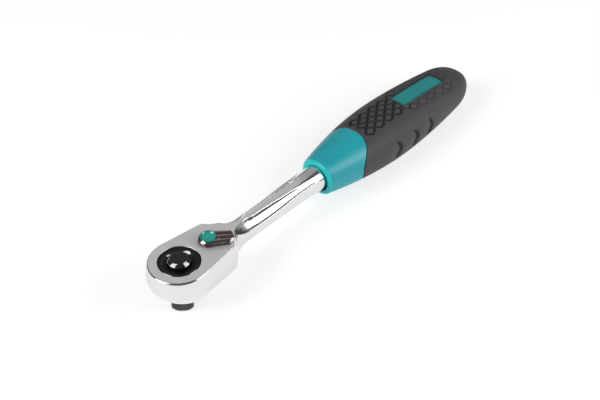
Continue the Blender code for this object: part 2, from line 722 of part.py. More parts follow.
def lever_outline():
    """Round boss about the pivot with a straight tail along +X."""
    half = LEVER_TAIL_WIDTH / 2
    start = math.degrees(math.asin(half / LEVER_BOSS_RADIUS))
    corner_x = LEVER_REACH - LEVER_CORNER
    corner_y = half - LEVER_CORNER
    points = arc(0.0, 0.0, LEVER_BOSS_RADIUS, start, 360.0 - start, TURN_STEPS // 2)
    points += arc(corner_x, -corner_y, LEVER_CORNER, -90.0, 0.0, ROUND_STEPS)
    points += arc(corner_x, corner_y, LEVER_CORNER, 0.0, 90.0, ROUND_STEPS)
    return points


def make_lever(parts, cutters, chrome, green, steel, spring_steel, rubber):
    axis = axis_empty("lever_axis", LEVER_X, -LEVER_SWING, parts)
    lever = carried(plate("reverse_lever", lever_outline(), LEVER_BOTTOM, LEVER_TOP, parts, chrome), axis)
    seal_middle = CEILING + HEAD_TOP_WALL / 2
    seal_half = STEM_SEAL_WIRE + FIT_GAP
    seal_groove = STEM_RADIUS - 2 * STEM_SEAL_WIRE
    foot_top = PAWL_FLOOR + END_PLAY
    groove = STEM_FOOT_RADIUS - CLIP_GROOVE
    groove_bottom = CLIP_BOTTOM - FIT_GAP
    groove_top = CLIP_TOP + FIT_GAP
    foot_end = HEAD_BOTTOM + CLIP_COVER / 4
    stem = turned("lever_stem", [
        (0.0, LEVER_BOTTOM + END_PLAY), (STEM_RADIUS, LEVER_BOTTOM + END_PLAY),
        (STEM_RADIUS, seal_middle + seal_half), (seal_groove, seal_middle + seal_half),
        (seal_groove, seal_middle - seal_half), (STEM_RADIUS, seal_middle - seal_half),
        (STEM_RADIUS, foot_top), (STEM_FOOT_RADIUS, foot_top), (STEM_FOOT_RADIUS, groove_top),
        (groove, groove_top), (groove, groove_bottom), (STEM_FOOT_RADIUS, groove_bottom),
        (STEM_FOOT_RADIUS, foot_end), (0.0, foot_end),
    ], SMALL_STEPS, cutters)
    join(lever, carried(stem, axis))
    seat = LEVER_TOP - INLAY_THICKNESS
    recess = rod_profile(INLAY_RADIUS + FIT_GAP, seat - FIT_GAP, LEVER_TOP + CUT_PAST)
    cut(lever, carried(turned("inlay_recess", recess, TURN_STEPS, cutters), axis))
    hollow = rod_profile(LEVER_VALLEY_RADIUS, LEVER_BOSS_RADIUS, LEVER_REACH + CUT_PAST)
    valley = turned("tail_valley", hollow, SMALL_STEPS, cutters)
    valley.rotation_euler.y = math.pi / 2
    valley.location.z = LEVER_TOP
    cut(lever, carried(valley, axis))
    inlay = rod_profile(INLAY_RADIUS, seat, LEVER_TOP)
    carried(turned("lever_inlay", inlay, TURN_STEPS, parts, green), axis)
    seal = wire_profile(seal_groove + STEM_SEAL_WIRE + FIT_GAP / 2, STEM_SEAL_WIRE, seal_middle)
    carried(turned("lever_o_ring", seal, SMALL_STEPS, parts, rubber, closed=True), axis)
    clip_inner = groove + FIT_GAP
    clip = turned("lever_clip", ring_profile(clip_inner, clip_inner + CLIP_WIDTH, CLIP_BOTTOM, CLIP_TOP),
                  SMALL_STEPS, parts, spring_steel, closed=True)
    carried(clip, axis)
    mouth = box("clip_mouth", (0.0, -groove, CLIP_BOTTOM - CUT_PAST),
                (clip_inner + CLIP_WIDTH + CUT_PAST, groove, CLIP_TOP + CUT_PAST), cutters)
    cut(clip, carried(mouth, axis))
    make_detent(parts, cutters, axis, lever, steel, spring_steel)


def make_detent(parts, cutters, axis, lever, steel, spring_steel):
    """A sprung cup in the stem, pointing away from the lever's tail at the pawl.

    The spring is drawn as short as the plunger's travel presses it.
    """
    tip = STEM_SWEEP
    tail = tip - PLUNGER_LENGTH
    bore = PLUNGER_RADIUS - PLUNGER_WALL
    cup_floor = tip - PLUNGER_RADIUS - PLUNGER_WALL
    hole_floor = tail - PLUNGER_TRAVEL - END_PLAY
    spring_front = cup_floor - PLUNGER_TRAVEL - FIT_GAP
    hole = rod_profile(PLUNGER_RADIUS + FIT_GAP, hole_floor, tip + CUT_PAST)
    dome = [(y, tip - PLUNGER_RADIUS + x) for x, y in arc(0.0, 0.0, PLUNGER_RADIUS, 0.0, 90.0, ROUND_STEPS)]
    cup = dome + [(PLUNGER_RADIUS, tail), (bore, tail), (bore, cup_floor), (0.0, cup_floor)]
    pieces = [
        turned("plunger_hole", hole, SMALL_STEPS, cutters),
        turned("detent_plunger", cup, SMALL_STEPS, parts, steel),
        wire_coil("detent_spring", bore - 2 * DETENT_SPRING_WIRE, DETENT_SPRING_WIRE,
                  hole_floor + 2 * DETENT_SPRING_WIRE, spring_front - DETENT_SPRING_WIRE,
                  DETENT_SPRING_TURNS, parts, spring_steel),
    ]
    for piece in pieces:
        piece.rotation_euler.y = -math.pi / 2
        piece.location.z = PLUNGER_HEIGHT
        carried(piece, axis)
    cut(lever, pieces[0])


# Grip

def grip_half(along, collar, swell, butt):
    """Half the grip's size at a distance from its front: collar, swell, taper and round end."""
    if along < SWELL_AT:
        return collar + (swell - collar) * (1.0 - (1.0 - along / SWELL_AT) ** SWELL_RISE_POWER)
    past = (along - SWELL_AT) / (BUTT_AT - SWELL_AT)
    taper = swell - (swell - butt) * past ** SWELL_FALL_POWER
    if along < BUTT_AT:
        return taper
    end = min(1.0, (along - BUTT_AT) / (GRIP_LENGTH - BUTT_AT))
    return taper * (1.0 - end ** BUTT_ROUND_POWER) ** (1.0 / BUTT_ROUND_POWER)


def grip_point(along, angle, inset):
    across = math.copysign(abs(math.cos(angle)) ** (2 / GRIP_SQUARENESS), math.cos(angle))
    up = math.copysign(abs(math.sin(angle)) ** (2 / GRIP_SQUARENESS), math.sin(angle))
    wide = grip_half(along, COLLAR_RADIUS, SWELL_HALF_WIDTH, BUTT_HALF_WIDTH) - inset
    tall = grip_half(along, COLLAR_RADIUS, SWELL_HALF_HEIGHT, BUTT_HALF_HEIGHT) - inset
    return (GRIP_START + along, wide * across, AXIS_HEIGHT + tall * up)


def collar_length(angle):
    """How far the hard collar reaches: least at the sides, most on top and below."""
    return COLLAR_SIDE_LENGTH + COLLAR_ARCH * abs(math.sin(angle)) ** COLLAR_ARCH_POWER


def grip_ring(place, inset):
    """A ring round the grip; place gives the distance from the front at each angle."""
    ring = []
    for i in range(GRIP_STEPS):
        angle = 2 * math.pi * i / GRIP_STEPS
        ring.append(grip_point(place(angle), angle, inset))
    return ring


def joint_ring(place):
    """The inner edge of the face where collar and sleeve meet, inside the core's rod."""
    ring = []
    for i in range(GRIP_STEPS):
        angle = 2 * math.pi * i / GRIP_STEPS
        radius = CORE_ROD_RADIUS - SKIN_GAP
        height = AXIS_HEIGHT + radius * math.sin(angle)
        ring.append((GRIP_START + place(angle), radius * math.cos(angle), height))
    return ring


def lying_rod(name, radius, start, end, steps, collection):
    rod = turned(name, rod_profile(radius, start, end), steps, collection)
    rod.rotation_euler.y = math.pi / 2
    rod.location.z = AXIS_HEIGHT
    return rod


def make_core(parts, cutters, teal):
    rings = []
    for x, y in arc(0.0, 0.0, COLLAR_LIP, 180.0, 90.0, ROUND_STEPS):
        rings.append(grip_ring(lambda angle: COLLAR_LIP + x, COLLAR_LIP - y))
    for i in range(1, COLLAR_RINGS + 1):
        share = i / COLLAR_RINGS
        rings.append(grip_ring(lambda angle: COLLAR_LIP + (collar_length(angle) - COLLAR_LIP) * share, 0.0))
    rings.append(joint_ring(collar_length))
    core = loft("grip_core", rings, parts, teal)
    rod_start = GRIP_START + COLLAR_SIDE_LENGTH / 2
    rod_end = GRIP_START + CORE_ROD_LENGTH
    join(core, lying_rod("core_rod", CORE_ROD_RADIUS, rod_start, rod_end, GRIP_STEPS, cutters))
    mouth = SHANK_ROUND_RADIUS + COLLAR_MOUTH_GAP
    mouth_end = TANG_START + 2 * END_PLAY
    cut(core, lying_rod("collar_mouth", mouth, GRIP_START - CUT_PAST, mouth_end, GRIP_STEPS, cutters))
    half = round_half(TANG_RADIUS + FIT_GAP, TANG_FLAT + FIT_GAP, GRIP_STEPS // 2)
    tang_rings = [whole_section(x, half) for x in (TANG_START - END_PLAY, TANG_END + END_PLAY)]
    cut(core, loft("tang_socket", tang_rings, cutters))


def badge_box(name, grow, lift, collection, material=None):
    """A plate let into the grip's top, lying along its slope."""
    front = grip_point(BADGE_AT, math.pi / 2, 0.0)
    rear = grip_point(BADGE_AT + BADGE_LENGTH, math.pi / 2, 0.0)
    low = (-BADGE_LENGTH / 2 - grow, -BADGE_WIDTH / 2 - grow, -BADGE_THICKNESS - grow)
    high = (BADGE_LENGTH / 2 + grow, BADGE_WIDTH / 2 + grow, lift)
    plate_box = box(name, low, high, collection, material)
    middle = grip_point(BADGE_AT + BADGE_LENGTH / 2, math.pi / 2, 0.0)
    plate_box.location = (middle[0], 0.0, middle[2] - BADGE_SUNK)
    plate_box.rotation_euler.y = math.atan2(front[2] - rear[2], rear[0] - front[0])
    return plate_box


def make_sleeve(parts, cutters, soft_rubber, green):
    def front(angle):
        return collar_length(angle) + SKIN_GAP

    rings = [joint_ring(front)]
    for i in range(SLEEVE_RINGS + 1):
        share = i / SLEEVE_RINGS
        rings.append(grip_ring(lambda angle: front(angle) + (SWELL_AT - front(angle)) * share, 0.0))
    for i in range(1, SLEEVE_RINGS + 1):
        along = SWELL_AT + (BUTT_AT - SWELL_AT) * i / SLEEVE_RINGS
        rings.append(grip_ring(lambda angle: along, 0.0))
    for i in range(1, BUTT_RINGS + 1):
        along = BUTT_AT + (GRIP_LENGTH - BUTT_TIP - BUTT_AT) * math.sin(math.pi / 2 * i / BUTT_RINGS)
        rings.append(grip_ring(lambda angle: along, 0.0))
    sleeve = loft("grip_sleeve", rings, parts, soft_rubber)
    hollow = CORE_ROD_RADIUS + SKIN_GAP
    hollow_end = GRIP_START + CORE_ROD_LENGTH + SKIN_GAP
    cut(sleeve, lying_rod("core_hollow", hollow, GRIP_START, hollow_end, GRIP_STEPS, cutters))
    cut(sleeve, badge_box("badge_pocket", SKIN_GAP, SWELL_HALF_HEIGHT, cutters))
    badge_box("grip_badge", 0.0, 0.0, parts, green)


def main():
    clear_scene()
    parts = new_collection("ratchet_handle")
    cutters = new_collection("cutters")
    satin_steel = new_material("satin_steel", (0.62, 0.62, 0.63), 0.38, 1.0)
    chrome = new_material("chrome", (0.72, 0.72, 0.72), 0.08, 1.0)
    black = new_material("blackened_steel", (0.02, 0.02, 0.022), 0.35, 0.6)
    dark_steel = new_material("dark_steel", (0.16, 0.16, 0.17), 0.4, 1.0)
    steel = new_material("ground_steel", (0.5, 0.5, 0.51), 0.3, 1.0)
    spring_steel = new_material("spring_steel", (0.42, 0.43, 0.45), 0.3, 1.0)
    rubber = new_material("seal_rubber", (0.02, 0.02, 0.02), 0.7, 0.0)
    teal = new_material("teal_plastic", (0.02, 0.33, 0.4), 0.35, 0.0)
    green = new_material("green_enamel", (0.02, 0.3, 0.24), 0.3, 0.0)
    soft_rubber = new_material("soft_rubber", (0.065, 0.06, 0.068), 0.65, 0.0)
    make_head(parts, cutters, satin_steel)
    make_drive(parts, cutters, black, dark_steel, spring_steel, rubber)
    make_gear_keepers(parts, cutters, steel, spring_steel)
    make_pawl(parts, cutters, steel)
    make_lever(parts, cutters, chrome, green, steel, spring_steel, rubber)
    make_core(parts, cutters, teal)
    make_sleeve(parts, cutters, soft_rubber, green)
    bpy.context.view_layer.update()


main()
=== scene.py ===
"""The looks of the ratchet handle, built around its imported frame.

Shapes are worked out in millimetres in the frame's own axes, and scaled once when a mesh is made.
"""
import json
import math

import bmesh
import bpy
from mathutils import Matrix, Vector


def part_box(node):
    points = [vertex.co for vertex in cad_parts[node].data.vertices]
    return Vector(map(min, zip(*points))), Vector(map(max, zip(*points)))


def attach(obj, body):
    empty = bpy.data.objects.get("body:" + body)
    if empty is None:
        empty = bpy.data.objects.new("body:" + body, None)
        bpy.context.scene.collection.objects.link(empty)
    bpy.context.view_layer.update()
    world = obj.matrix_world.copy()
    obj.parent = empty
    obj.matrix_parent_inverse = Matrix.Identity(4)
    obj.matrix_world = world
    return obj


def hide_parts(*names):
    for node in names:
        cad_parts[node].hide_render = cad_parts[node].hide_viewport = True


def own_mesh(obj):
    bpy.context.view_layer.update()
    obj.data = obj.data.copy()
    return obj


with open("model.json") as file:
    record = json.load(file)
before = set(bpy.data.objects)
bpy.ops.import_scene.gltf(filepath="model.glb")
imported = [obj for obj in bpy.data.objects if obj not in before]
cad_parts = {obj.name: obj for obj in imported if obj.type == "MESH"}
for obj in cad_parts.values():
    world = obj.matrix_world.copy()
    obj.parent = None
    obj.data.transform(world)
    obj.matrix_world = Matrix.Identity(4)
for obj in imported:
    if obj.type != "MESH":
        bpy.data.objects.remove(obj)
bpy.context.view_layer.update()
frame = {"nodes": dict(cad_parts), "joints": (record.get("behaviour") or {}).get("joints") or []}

MM = 0.001
TINY = 1e-6


# Sizes read from the frame

def low(node):
    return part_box(node)[0] / MM


def high(node):
    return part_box(node)[1] / MM


def levels(node):
    """A node's lowest and highest level."""
    return low(node).z, high(node).z


def joint_point(name):
    return Vector(next(joint for joint in frame["joints"] if joint["name"] == name)["pos_m"]) / MM


HEAD_BOTTOM, HEAD_TOP = levels("head_body")
HEAD_RADIUS = -low("head_body").x
TANG_END = high("head_body").x
DISC_TOP = high("drive_gear").z
GEAR_TIP = high("drive_gear").x
BUTTON_BOTTOM, BUTTON_TOP = levels("release_button")
BUTTON_RADIUS = high("release_button").x
PIN_RADIUS = high("release_pin").x
PIN_BOTTOM, PIN_TOP = levels("release_pin")
BALL_LOW = low("lock_ball")
BALL_HIGH = high("lock_ball")
RING_BOTTOM, RING_TOP = levels("gear_retaining_ring")
PAWL_BOTTOM, GEAR_TOP = levels("pawl")
PAWL_PIN = joint_point("pawl_rock")
PAWL_PIN_TOP = high("pawl_pin").z
LEVER_PIVOT = joint_point("lever_turn")
LEVER_FOOT, LEVER_TOP = levels("reverse_lever")
PLUNGER_HEIGHT = sum(levels("detent_plunger")) / 2
SEAL_BOTTOM, SEAL_TOP = levels("lever_o_ring")
CLIP_BOTTOM, CLIP_TOP = levels("lever_clip")
GRIP_START = low("grip_core").x
GRIP_LENGTH = high("grip_sleeve").x - GRIP_START
AXIS_HEIGHT = sum(levels("grip_sleeve")) / 2
SWELL_HALF_WIDTH = high("grip_sleeve").y
SWELL_HALF_HEIGHT = high("grip_sleeve").z - AXIS_HEIGHT

# Clearances of the solids
RUN_GAP = 0.2
END_PLAY = 0.3
FIT_GAP = 0.1
SKIN_GAP = 0.3
CUT_PAST = 2.0

# Facets
TURN_STEPS = 128
SMALL_STEPS = 48
ROUND_STEPS = 6

# How far up a face looks, by the height of its normal
LEVEL = 0.99
NEAR_LEVEL = 0.95
SLOPED = 0.2


# Mesh helpers

def clamp(value):
    return min(1.0, max(0.0, value))


def smooth(value, start, end):
    share = clamp((value - start) / (end - start))
    return share * share * (3.0 - 2.0 * share)


def mix(first, second, share):
    return first + (second - first) * share


def shares(count, first=0):
    """Equal steps from 0 to 1; first leaves out the steps before it."""
    return [i / count for i in range(first, count + 1)]


def even_angles(count):
    return [2 * math.pi * i / count for i in range(count)]


def signed_power(value, power):
    return math.copysign(abs(value) ** power, value)


def add_object(name, mesh, material):
    obj = bpy.data.objects.new(name, mesh)
    bpy.context.scene.collection.objects.link(obj)
    mesh.materials.append(material)
    return obj


def clean(mesh):
    """Weld what coincides and turn all faces outwards."""
    work = bmesh.new()
    work.from_mesh(mesh)
    bmesh.ops.remove_doubles(work, verts=work.verts, dist=TINY)
    bmesh.ops.dissolve_degenerate(work, edges=work.edges, dist=TINY / 2)
    bmesh.ops.recalc_face_normals(work, faces=work.faces)
    work.to_mesh(mesh)
    work.free()


def skin(name, rings, material, capped=(True, True), looped=False):
    """A closed skin over rings of equally many points; looped joins the last ring to the first."""
    count = len(rings[0])
    points = [Vector(point) * MM for ring in rings for point in ring]
    faces = []
    for row in range(len(rings) if looped else len(rings) - 1):
        here = row * count
        there = (row + 1) % len(rings) * count
        for i in range(count):
            j = (i + 1) % count
            faces.append((here + i, here + j, there + j, there + i))
    if capped[0] and not looped:
        faces.append(tuple(reversed(range(count))))
    if capped[1] and not looped:
        faces.append(tuple(range(len(points) - count, len(points))))
    mesh = bpy.data.meshes.new(name)
    mesh.from_pydata(points, [], faces)
    clean(mesh)
    return add_object(name, mesh, material)


def circle(radius, height, steps, centre=(0.0, 0.0)):
    ring = []
    for angle in even_angles(steps):
        ring.append((centre[0] + radius * math.cos(angle), centre[1] + radius * math.sin(angle), height))
    return ring


def turned(name, profile, steps, material, looped=False, centre=(0.0, 0.0)):
    """Turn (radius, height) points about an upright axis."""
    rings = [circle(radius, height, steps, centre) for radius, height in profile]
    return skin(name, rings, material, capped=(False, False), looped=looped)


def prism(name, outline, bottom, top, material):
    rings = [[(x, y, height) for x, y in outline] for height in (bottom, top)]
    return skin(name, rings, material)


def stepped(top, *steps):
    """A profile of stacked cylinders for turning, from the top down.

    Each step is its radius, its lower end and, where it begins with a chamfer, the chamfer's height.
    """
    points = [(0.0, top)]
    for radius, bottom, *chamfer in steps:
        points += [(radius, points[-1][1] - sum(chamfer)), (radius, bottom)]
    return points + [(0.0, points[-1][1])]


def arc(centre_x, centre_y, radius, start, end, count):
    """Points on an arc between two angles in degrees, both ends included."""
    points = []
    for share in shares(count):
        angle = math.radians(mix(start, end, share))
        points.append((centre_x + radius * math.cos(angle), centre_y + radius * math.sin(angle)))
    return points


def bezier(start, corner, end, count):
    """Points round a corner, without its first point."""
    points = []
    for share in shares(count, 1):
        points.append(tuple(
            a * (1 - share) ** 2 + 2 * b * share * (1 - share) + c * share ** 2
            for a, b, c in zip(start, corner, end)
        ))
    return points


def settle(obj):
    """Make what the modifiers give the object's own mesh."""
    bpy.context.view_layer.update()
    evaluated = obj.evaluated_get(bpy.context.evaluated_depsgraph_get())
    mesh = bpy.data.meshes.new_from_object(evaluated)
    obj.modifiers.clear()
    old = obj.data
    obj.data = mesh
    bpy.data.meshes.remove(old)


def combine(obj, other, operation):
    boolean = obj.modifiers.new("Combine", "BOOLEAN")
    boolean.operation = operation
    boolean.solver = "EXACT"
    boolean.material_mode = "TRANSFER"
    boolean.object = other
    settle(obj)
    bpy.data.objects.remove(other, do_unlink=True)


def join(obj, other):
    combine(obj, other, "UNION")


def cut(obj, other):
    combine(obj, other, "DIFFERENCE")


def bevelled(obj, width, segments, angle):
    bevel = obj.modifiers.new("Bevel", "BEVEL")
    bevel.width = width * MM
    bevel.segments = segments
    bevel.limit_method = "ANGLE"
    bevel.angle_limit = math.radians(angle)
    settle(obj)


def dress(obj, body, node, sharp=32.0):
    """Shade the piece and let it stand for its node."""
    obj.data.shade_smooth()
    obj.data.set_sharp_from_angle(angle=math.radians(sharp))
    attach(obj, body)
    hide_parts(node)


# Materials

def set_socket(socket, value):
    """Give an input a value, or link it to the output that its value comes from."""
    if isinstance(value, bpy.types.NodeSocket):
        socket.id_data.links.new(value, socket)
    else:
        socket.default_value = value


def set_sockets(node, *numbered, **named):
    """Set a node's inputs in their order or by name, with an underscore for each space."""
    for socket, value in zip(node.inputs, numbered):
        set_socket(socket, value)
    for name, value in named.items():
        set_socket(node.inputs[name.replace("_", " ")], value)


def add_node(tree, kind, *numbered, **named):
    node = tree.nodes.new("ShaderNode" + kind)
    set_sockets(node, *numbered, **named)
    return node


BROAD_PATCH = 9.0
PATCH_SPAN = (0.3, 0.7)


def finish(name, colour, metallic, roughness, grain, depth, spread=0.05, tint=0.06, **sockets):
    """A material with fine grain in its surface, and colour and roughness that vary a little.

    Grain is the size of the grain and depth its height, in millimetres.
    """
    material = bpy.data.materials.new(name)
    material.use_nodes = True
    tree = material.node_tree
    place = add_node(tree, "TexCoord").outputs["Object"]
    fine = add_node(tree, "TexNoise", Vector=place, Scale=1.0 / (grain * MM), Detail=3.0)
    bump = add_node(tree, "Bump", Height=fine.outputs["Fac"], Distance=depth * MM)
    patches = add_node(tree, "TexNoise", Vector=place, Scale=1.0 / (BROAD_PATCH * MM), Detail=4.0)
    broad = patches.outputs["Fac"]
    shades = add_node(tree, "ValToRGB", Fac=broad)
    ends = zip(shades.color_ramp.elements, PATCH_SPAN, (1.0 - tint, 1.0 + tint))
    for element, position, factor in ends:
        element.position = position
        element.color = (*[min(1.0, part * factor) for part in colour], 1.0)
    gloss = add_node(tree, "MapRange", broad, *PATCH_SPAN, roughness - spread, roughness + spread)
    set_sockets(
        tree.nodes["Principled BSDF"], Metallic=metallic, Base_Color=shades.outputs["Color"],
        Roughness=gloss.outputs["Result"], Normal=bump.outputs["Normal"], **sockets)
    return material


SATIN_CHROME = finish("satin_chrome", (0.76, 0.755, 0.76), 1.0, 0.13, 0.12, 0.0004, 0.03, 0.02)
SATIN_TOP = finish("blasted_chrome_top", (0.9, 0.885, 0.885), 0.65, 0.45, 0.16, 0.004, 0.03, 0.02)
# Painted shade: darker chrome in the neck scoops stands for the dark reflection there
NECK_SCOOP_PAINTED_SHADE = finish("neck_scoop_painted_shade", (0.3, 0.295, 0.3), 1.0, 0.36, 0.14, 0.001, 0.03, 0.02)
BORE_STEEL = finish("bored_steel", (0.4, 0.4, 0.41), 1.0, 0.35, 0.2, 0.003)
# Painted shade: near-black chrome for the lever's lower sides
LEVER_SIDES_PAINTED_SHADE = finish("lever_sides_painted_shade", (0.11, 0.09, 0.085), 1.0, 0.12, 0.5, 0.001, 0.02, 0.05)
DARK_CHROME = finish("polished_dark_chrome", (0.52, 0.42, 0.41), 1.0, 0.07, 0.5, 0.001, 0.02, 0.05)
BLACK_OXIDE = finish(
    "black_oxide", (0.006, 0.006, 0.007), 0.0, 0.22, 0.25, 0.001, 0.03, 0.2, Specular_IOR_Level=0.3)
POLISHED_BLACK = finish(
    "polished_black", (0.004, 0.004, 0.005), 0.0, 0.12, 0.25, 0.0005, 0.02, 0.2, IOR=2.3)
MATT_BLACK = finish(
    "matt_black_cap", (0.018, 0.018, 0.019), 0.0, 0.5, 0.3, 0.008, 0.05, 0.2, Specular_IOR_Level=0.3)
DARK_STEEL = finish("dark_steel", (0.05, 0.05, 0.055), 0.3, 0.38, 0.3, 0.006, 0.06, 0.15)
GROUND_STEEL = finish("ground_steel", (0.5, 0.5, 0.51), 1.0, 0.3, 0.2, 0.004)
SPRING_STEEL = finish("spring_steel", (0.42, 0.43, 0.45), 1.0, 0.28, 0.2, 0.002)
SEAL_RUBBER = finish("seal_rubber", (0.012, 0.012, 0.012), 0.0, 0.6, 0.2, 0.006, 0.05, 0.2)
TEAL_PLASTIC = finish(
    "teal_plastic", (0.01, 0.41, 0.485), 0.0, 0.42, 0.35, 0.012, 0.03, 0.04, Specular_IOR_Level=0.6)
# Painted highlight: a paler copy of the teal for the collar's front lip
TEAL_LIP_PAINTED_HIGHLIGHT = finish("teal_lip_painted_highlight", (0.015, 0.64, 0.66), 0.0, 0.4, 0.35, 0.006, 0.03, 0.04)
GREEN_ENAMEL = finish(
    "green_enamel", (0.012, 0.3, 0.295), 0.0, 0.35, 0.5, 0.005, 0.03, 0.05, Specular_IOR_Level=0.35)
LEVER_ENAMEL = finish("lever_enamel", (0.006, 0.37, 0.3), 0.0, 0.14, 0.6, 0.002, 0.03, 0.12, IOR=1.75)
SOFT_RUBBER = finish(
    "soft_rubber", (0.069, 0.0655, 0.071), 0.0, 0.6, 0.3, 0.02, 0.05, 0.1, Specular_IOR_Level=0.4)
# Painted shade: darker rubber for the knurl grooves and the finger grooves' steep edges
GROOVE_PAINTED_SHADE = finish(
    "groove_rubber_painted_shade", (0.029, 0.0275, 0.031), 0.0, 0.7, 0.3, 0.02, 0.05, 0.1, Specular_IOR_Level=0.25)


# A Mix node's inputs and output go by number, because several share a name
MIX_SOCKETS = {"RGBA": (6, 7, 2), "FLOAT": (2, 3, 0)}


def fade(material, other, start, end):
    """Let a material run into another along the tool, between two places in millimetres."""
    tree = material.node_tree
    place = add_node(tree, "TexCoord").outputs["Object"]
    apart = add_node(tree, "SeparateXYZ", place)
    share = add_node(tree, "MapRange", apart.outputs["X"], start * MM, end * MM)
    share.interpolation_type = "SMOOTHSTEP"
    source = other.node_tree.nodes
    shades = source["Color Ramp"].color_ramp.elements
    gloss = source["Map Range"].inputs
    metallic = source["Principled BSDF"].inputs["Metallic"].default_value
    shader = tree.nodes["Principled BSDF"]
    for name, kind, value in (
        ("Base Color", "RGBA", [(a + b) / 2 for a, b in zip(shades[0].color, shades[1].color)]),
        ("Roughness", "FLOAT", (gloss["To Min"].default_value + gloss["To Max"].default_value) / 2),
        ("Metallic", "FLOAT", metallic),
    ):
        first, second, output = MIX_SOCKETS[kind]
        blend = add_node(tree, "Mix", share.outputs["Result"])
        blend.data_type = kind
        own = shader.inputs[name]
        set_socket(blend.inputs[first], own.links[0].from_socket if own.is_linked else own.default_value)
        set_socket(blend.inputs[second], value)
        set_socket(own, blend.outputs[output])


def paint(obj, material, chosen):
    """Give another material to the faces chosen by their middle, in millimetres, and their normal."""
    obj.data.materials.append(material)
    index = len(obj.data.materials) - 1
    for face in obj.data.polygons:
        if chosen(face.center / MM, face.normal):
            face.material_index = index


# Head, neck, shank and tang in one forging

SHOULDER_X = 23.1
SHOULDER_HALF_WIDTH = 11.5
SHOULDER_ROUND = 0.6
FLANK_END = 19.0
NOSE_EDGE = 0.55
FLANK_EDGE = 0.16
HEAD_TOP_DRAFT = 1.15
HEAD_TOP_POWER = 2.7
NOSE_FOOT_DRAFT = 3.6
SHOULDER_FOOT_DRAFT = 1.0
HEAD_FOOT_POWER = 2.0
NECK_END = 38.0
NECK_LEVEL = NECK_END - 2.0
NECK_POWER = 2.5
NECK_TOP_DRAFT = 1.6
NECK_TOP_POWER = 1.5
NECK_DRAFT_SPAN = (SHOULDER_X - 1.5, SHOULDER_X + 2.0)
SHANK_HALF_WIDTH = 5.2
SCOOP_TOP_HALF_WIDTH = 0.9
PANEL_NEAR_HALF_WIDTH = 1.75
PANEL_FAR_HALF_WIDTH = 2.7
SHANK_TOP = AXIS_HEIGHT + 6.0
SHANK_TOP_FALL = 0.35
SHANK_SIDE = AXIS_HEIGHT - 1.6
SHANK_UNDER = AXIS_HEIGHT - 5.2
UNDER_LEAST = 0.03
SCOOP_START = 27.0
SCOOP_END = 38.0
SCOOP_POWER = 1.8
PANEL_START = 43.5
SHANK_FALL_END = PANEL_START + 20.0
DIVE_START = 28.3
DIVE_END = 38.2
DIVE_POWER = 1.85
FLUTE_EDGE = AXIS_HEIGHT + 2.3
FLUTE_EDGE_RISE = 1.3
FLUTE_RISE_FROM = 50.0
FLUTE_BEGUN = DIVE_START + 6.0
FLUTE_WALL_TILT = 62.0
FLUTE_WALL = 0.28
FLUTE_EASE = 0.1
FLUTE_FLOOR_END = 0.74
FLUTE_STEEPEST = 0.5
TOP_EDGE_RADIUS = 0.15
ROUND_EDGE_RADIUS = 2.4
LOW_EDGE_RADIUS = 0.12
EDGE_SHARE = 0.45
ROUND_RADIUS = 6.35
ROUND_FROM = 72.0
ROUND_EDGE_SPAN = (ROUND_FROM - 6.0, ROUND_FROM + 8.0)
FINE_END = ROUND_FROM + 5.0
TANG_RADIUS = 4.2
TANG_FLAT = 3.4
TANG_START = GRIP_START + 8.0
PANEL_FROM = 41.6
PANEL_TO = 75.4
PANEL_FADE = 5.0
NECK_FADE = (34.5, 40.0)
PANEL_BORDER = 0.45
PANEL_DEPTH = 0.16
PANEL_RAMP = 0.3
STIPPLE_PITCH = 1.5
STIPPLE_HEIGHT = 0.035
STIPPLE_SLANT = (0.62, 1.4)
LOWEST_TOP = SHANK_TOP - SHANK_TOP_FALL - 2 * PANEL_DEPTH - STIPPLE_HEIGHT
TOP_LEVEL = 0.98
PANEL_LEVEL = 0.7
SCOOP_STEEPEST = 0.3
SCOOP_FROM = DIVE_START - 2.0

# Hollow, below zero, that bends an edge's chord into nearly a quarter circle
EDGE_BULGE = 4.0 * (math.sqrt(0.5) - 1.0)

ARC_STATIONS = 64
FLANK_STATIONS = 16
NECK_STATIONS = 72
SHANK_STATIONS = 170
ROUND_STATIONS = 30
TOP_STEPS = 18
FLUTE_STEPS = 30
SIDE_STEPS = 7
UNDER_STEPS = 10
FLAT_STEPS = 3


def head_inset(height):
    """How far the head's barrel-shaped wall is drawn in at a height above its widest level."""
    share = max(0.0, (height - AXIS_HEIGHT) / (HEAD_TOP - AXIS_HEIGHT))
    return HEAD_TOP_DRAFT * share ** HEAD_TOP_POWER


def foot_draft(x):
    """How far the wall's foot is drawn in: most at the nose, least at the shoulders."""
    share = min(1.0, (x + HEAD_RADIUS) / (SHOULDER_X + HEAD_RADIUS))
    return mix(NOSE_FOOT_DRAFT, SHOULDER_FOOT_DRAFT, math.sqrt(share))


def neck_draft(x):
    """How far the neck's wall is drawn in at its top, behind the shoulders."""
    return NECK_TOP_DRAFT * smooth(x, *NECK_DRAFT_SPAN) * (1.0 - smooth(x, DIVE_START, NECK_END))


def top_edge(x):
    """The rounding of the shank's upper edges, which grows where the shank turns round."""
    return mix(TOP_EDGE_RADIUS, ROUND_EDGE_RADIUS, smooth(x, *ROUND_EDGE_SPAN))


def flute_sink(share):
    """How the flute sinks below its chord: a straight wall, a floor and a quick rise."""
    eased = min(FLUTE_EASE, max(0.0, share - FLUTE_WALL))
    sunk = min(share, FLUTE_WALL) + eased - eased ** 2 / (2 * FLUTE_EASE)
    risen = max(0.0, share - FLUTE_FLOOR_END) / (1.0 - FLUTE_FLOOR_END)
    return sunk * (1.0 - risen ** 2)


